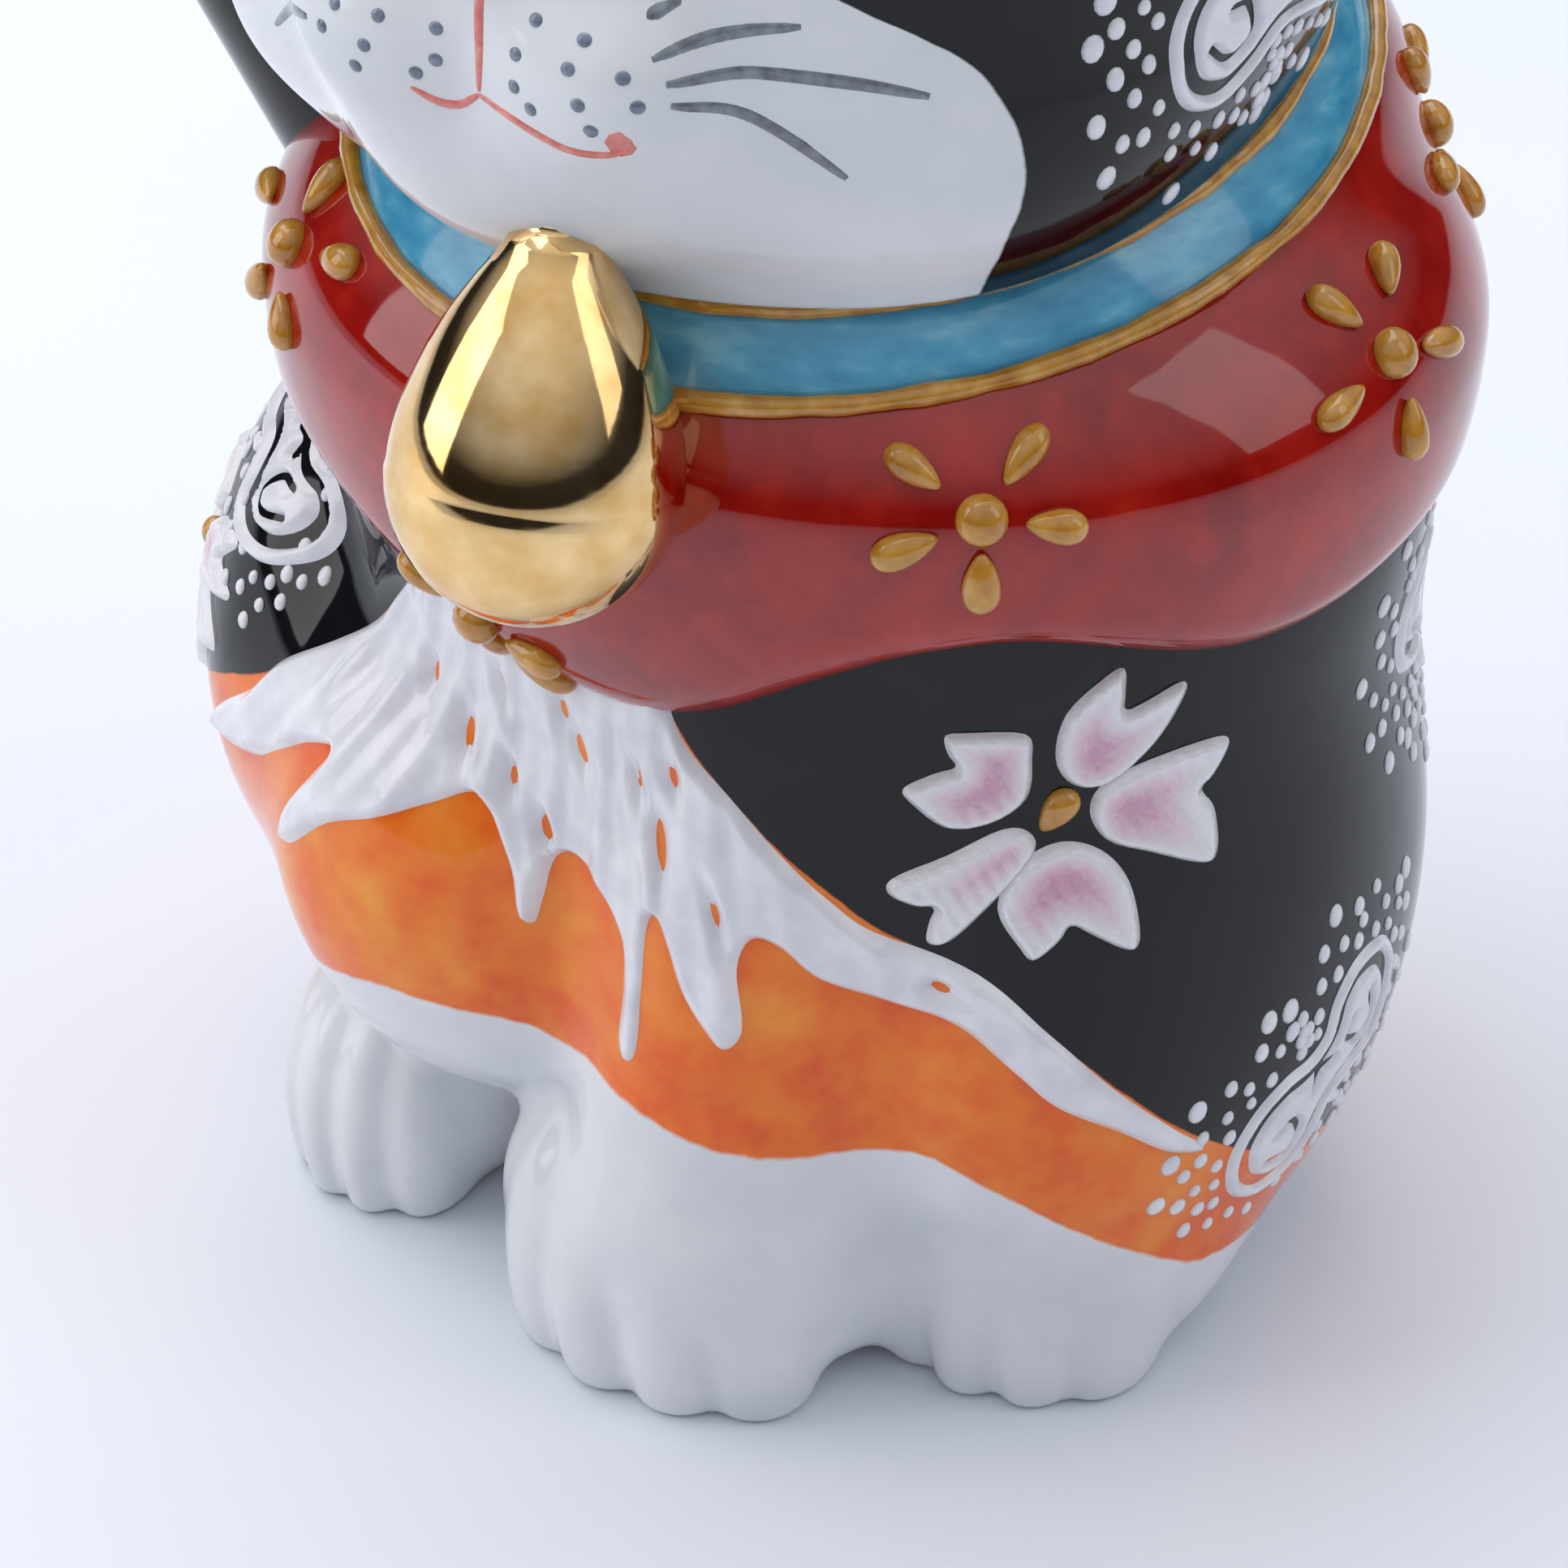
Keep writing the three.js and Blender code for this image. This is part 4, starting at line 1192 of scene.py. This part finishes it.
def make_scrolls():
    for name, centre, out, turn, scale, rows in SCROLLS:
        form, clear = (head, on_head) if name in ("cheek_left", "crown") else (body_skin, on_body)
        make_scroll("scroll_" + name, form, centre, out, turn, scale, DOT_ROWS[:rows], clear)


# ---- the face ----
def head_point(q):
    """From the head's own frame to the cat's."""
    c, s = math.cos(HEAD_TURN), math.sin(HEAD_TURN)
    q = np.array(q, float) + (FACE_X, 0, 0)
    return np.array([q[0] * c + q[1] * s + HEAD_SHIFT[0], -q[0] * s + q[1] * c + HEAD_SHIFT[1], q[2]])


def brush(name, knots, width, material, slot, lift=0.1, taper=0.35):
    """A stroke on the head through points (x, z) of its face, thinned at its ends."""
    path = onto_face(spline([head_point((x, -40, z)) for x, z in knots], False, 8))
    along = np.linspace(0, 1, len(path))
    half = width / 2 * (taper + (1 - taper) * np.sin(math.pi * along) ** 0.5)
    lifts = np.minimum(lift, half * 0.6)
    radius = (half ** 2 + lifts ** 2) / (2 * lifts)
    centre = path - gradient(head, path) * (radius - lifts)[:, None]
    source = seed_object(name, centre, [(k, k + 1) for k in range(len(centre) - 1)])
    layer = source.data.attributes.new("thick", "FLOAT", "POINT")
    layer.data.foreach_set("value", (radius * MM).astype(np.float32))
    return finish_piece(grown(source, name, STROKE, Finish=material, Weight=1.0), slot)


def onto_face(points, turns=30):
    """Points in front of the face moved straight back onto it."""
    back = head_point((0, 1, 0)) - head_point((0, 0, 0))
    at = np.array(points, float)
    for _ in range(turns):
        at = at + back * head(at.T)[:, None] * 0.8
    return at


MOUTH = [  # name, (x, z) knots, width, lift, taper
    ("line", [(0, 106.6), (-0.1, 104), (0.05, 101.2), (0, 98.6)], 0.7, 0.1, 0.35),
    ("right", [(0, 98.4), (-1.4, 97.4), (-2.8, 97.3), (-4.4, 97.9)], 0.6, 0.1, 0.35),
    ("left", [(0, 98.4), (1.6, 98.0), (4.0, 97.4), (6.4, 96.8), (8.6, 96.9), (9.8, 97.5)], 0.6, 0.1, 0.35),
    ("corner", [(8.6, 97.2), (9.4, 97.7), (10.1, 98.3)], 1.7, 0.14, 0.75),
]


def make_mouth():
    for name, knots, width, lift, taper in MOUTH:
        brush("mouth_" + name, knots, width, CORAL_LINE, "red_glaze", lift, taper)


WHISKERS = [  # (x, z) on the cat's left; mirrored on its right
    [(10.6, 104.1), (11.3, 105.1), (12.9, 106.0)],
    [(11.6, 102.7), (13.5, 103.6), (15.7, 104.1), (18.2, 104.2)],
    [(12.5, 101.4), (16.1, 101.6), (20.5, 100.7), (24.0, 99.6)],
    [(12.8, 100.2), (15.1, 99.4), (17.6, 97.5), (20.4, 94.8)],
]
MUZZLE_DOTS = [(3.4, 101.8), (4.4, 103.9), (3.4, 99.9), (7.6, 103.5), (7.0, 101.9), (10.1, 101.8), (4.6, 98.9),
               (7.8, 100.0), (11.0, 100.2), (8.5, 98.5)]


def make_whiskers():
    for side, label in ((1, "left"), (-1, "right")):
        for k, knots in enumerate(WHISKERS):
            brush(f"whisker_{label}_{k + 1}", [(side * (x - FACE_X), z) for x, z in knots], 0.85 - 0.1 * (k == 3),
                  GREY_LINE, "black_glaze", 0.09, 0.5)
        spots = onto_face([head_point((side * (x - 0.6), -45, z)) for x, z in MUZZLE_DOTS])
        normals = gradient(head, spots)
        beads = [(p, n, (0, 0, 1), (0.46, 0.42, 0.13)) for p, n in zip(spots, normals)]
        strew(f"muzzle_dots_{label}", beads, SLATE_DOT, "black_glaze", shape=DOT)


def oval(centre, size):
    return lambda x, y: (np.sqrt(((x - centre[0]) / size[0]) ** 2 + ((y - centre[1]) / size[1]) ** 2) - 1) * -min(size)


def make_eyes():
    """Amber eyes with upright pupils and a black brushed rim."""
    window = ((-8, -8), (8, 8))
    for side, label in ((1, "left"), (-1, "right")):
        spot = onto_face([head_point((side * 13.5, -40, 114.5))])[0]
        where = flat_on(tangent_frame(spot, gradient(head, spot[None])[0]))
        lid = spline([(-5.4, -side * 1.2), (-3.4, 3.0), (0, 4.2), (3.4, 3.2), (5.6, side * 1.4), (3.2, -3.0), (0, -3.8),
                      (-3.4, -3.2)])
        for part, mask, height, edge, material, slot, step in (
                ("iris", area(lid), 0.5, 2.2, EYE_GOLD, "ochre_enamel", 0.27),
                ("pupil", oval((0.2 * side, 0.1), (1.15, 3.0)), 0.75, 0.8, BLACK_LINE, "black_glaze", 0.25),
                ("rim", stroke(lid, 0.8, True), 0.4, 0.4, BLACK_LINE, "black_glaze", 0.25)):
            enamel(f"eye_{label}_{part}", head, where, plotted(mask, *window), (spot - 8, spot + 8), height, edge,
                   material, slot, step)


def make_nose():
    spot = onto_face([head_point((0, -45, 108.2))])[0]
    where = flat_on(tangent_frame(spot, gradient(head, spot[None])[0]))
    outline = spline([(-2.5, 1.2), (0, 1.7), (2.5, 1.2), (1.5, -0.7), (0, -1.7), (-1.5, -0.7)])
    enamel("nose", head, where, plotted(area(outline), (-4, -4), (4, 4)), (spot - 4, spot + 4), 0.35, 0.8, CORAL_LINE,
           "red_glaze", 0.22)


make_castings()
make_bib()
make_collar_band()
make_cords()
make_bell()
make_drift()
make_blossom("blossom", (26.0, -22.7, 48.5), (0.58, -0.81, 0.11), 1.0, 0, True)
make_blossom("blossom_right", (-43.0, -12.5, 42), (-0.9, -0.4, 0.1), 0.8, 40, False)
make_blossom("blossom_back", (8, 31, 44), (0.15, 0.98, 0.0), 1.0, 20, False)
make_bib_flowers()
make_scrolls()
make_mouth()
make_whiskers()
make_eyes()
make_nose()


# ---- table, light and camera ----
def make_table():
    mesh = bpy.data.meshes.new("table")
    w = 3.0
    mesh.from_pydata([(-w, -w, 0), (w, -w, 0), (w, w, 0), (-w, w, 0)], [], [(0, 1, 2, 3)])
    table = bpy.data.objects.new("table", mesh)
    bpy.context.scene.collection.objects.link(table)
    material = bpy.data.materials.new("pale sweep")
    tree = nodes_of(material)
    out = add(tree, "ShaderNodeOutputMaterial")
    shader = add(tree, "ShaderNodeBsdfPrincipled")
    where = add(tree, "ShaderNodeTexCoord")
    grain = add(tree, "ShaderNodeTexNoise", {"Vector": where.outputs["Object"]})
    grain.inputs["Scale"].default_value = 6.0
    tree.links.new(ramp(tree, grain.outputs[0], [(0.3, hue(226, 230, 239)), (0.7, hue(232, 236, 244))]),
                   shader.inputs["Base Color"])
    shader.inputs["Roughness"].default_value = 0.55
    tree.links.new(shader.outputs[0], out.inputs[0])
    mesh.materials.append(material)


def lamp(name, at, towards, size, power):
    light = bpy.data.lights.new(name, "AREA")
    light.shape = "RECTANGLE"
    light.size, light.size_y = size
    light.energy = power
    obj = bpy.data.objects.new(name, light)
    obj.location = at
    obj.rotation_euler = (Vector(towards) - Vector(at)).to_track_quat("-Z", "Y").to_euler()
    bpy.context.scene.collection.objects.link(obj)


def make_light():
    """A pale room with a dark band at the horizon, softboxes overhead and to the left."""
    world = bpy.data.worlds.new("studio")
    bpy.context.scene.world = world
    tree = nodes_of(world)
    where = add(tree, "ShaderNodeTexCoord")
    height = add(tree, "ShaderNodeSeparateXYZ", {0: where.outputs["Generated"]})
    rise = math_node(tree, "ADD", math_node(tree, "MULTIPLY", height.outputs[2], 0.5), 0.5)
    sky = ramp(tree, rise, [(0.49, (0.42, 0.44, 0.48)), (0.5, (0.02, 0.02, 0.024)), (0.59, (0.03, 0.032, 0.036)),
                            (0.68, (0.3, 0.31, 0.34)), (0.8, (0.6, 0.62, 0.66)), (1.0, (0.9, 0.93, 0.98))])
    seen = add(tree, "ShaderNodeLightPath")
    back = add(tree, "ShaderNodeBackground", {0: mix(tree, seen.outputs["Is Camera Ray"], sky, hue(226, 231, 240))})
    add(tree, "ShaderNodeOutputWorld", {0: back.outputs[0]})
    lamp("overhead softbox", (-0.35, 0.25, 1.0), (0, 0, 0.05), (1.1, 1.1), 6.6)
    lamp("left softbox", (-0.9, -0.55, 0.55), (0, 0, 0.06), (0.7, 0.9), 3.9)
    lamp("right fill", (1.0, 0.2, 0.75), (0, 0, 0.06), (0.5, 0.9), 1.6)


def make_camera():
    camera = bpy.data.cameras.new("camera")
    obj = bpy.data.objects.new("camera", camera)
    a, e = CAMERA_TURN, CAMERA_TILT
    back = Vector((math.sin(a) * math.cos(e), -math.cos(a) * math.cos(e), math.sin(e)))
    obj.location = (Vector(CAMERA_AIM) + back * CAMERA_FAR) * MM
    obj.rotation_euler = (-back).to_track_quat("-Z", "Y").to_euler()
    camera.sensor_width = 36
    camera.lens = 36 * 3.5
    camera.clip_start = 0.01
    bpy.context.scene.collection.objects.link(obj)
    bpy.context.scene.camera = obj


make_table()
make_light()
make_camera()
scene = bpy.context.scene
scene.view_settings.view_transform = "Standard"
scene.view_settings.look = "None"
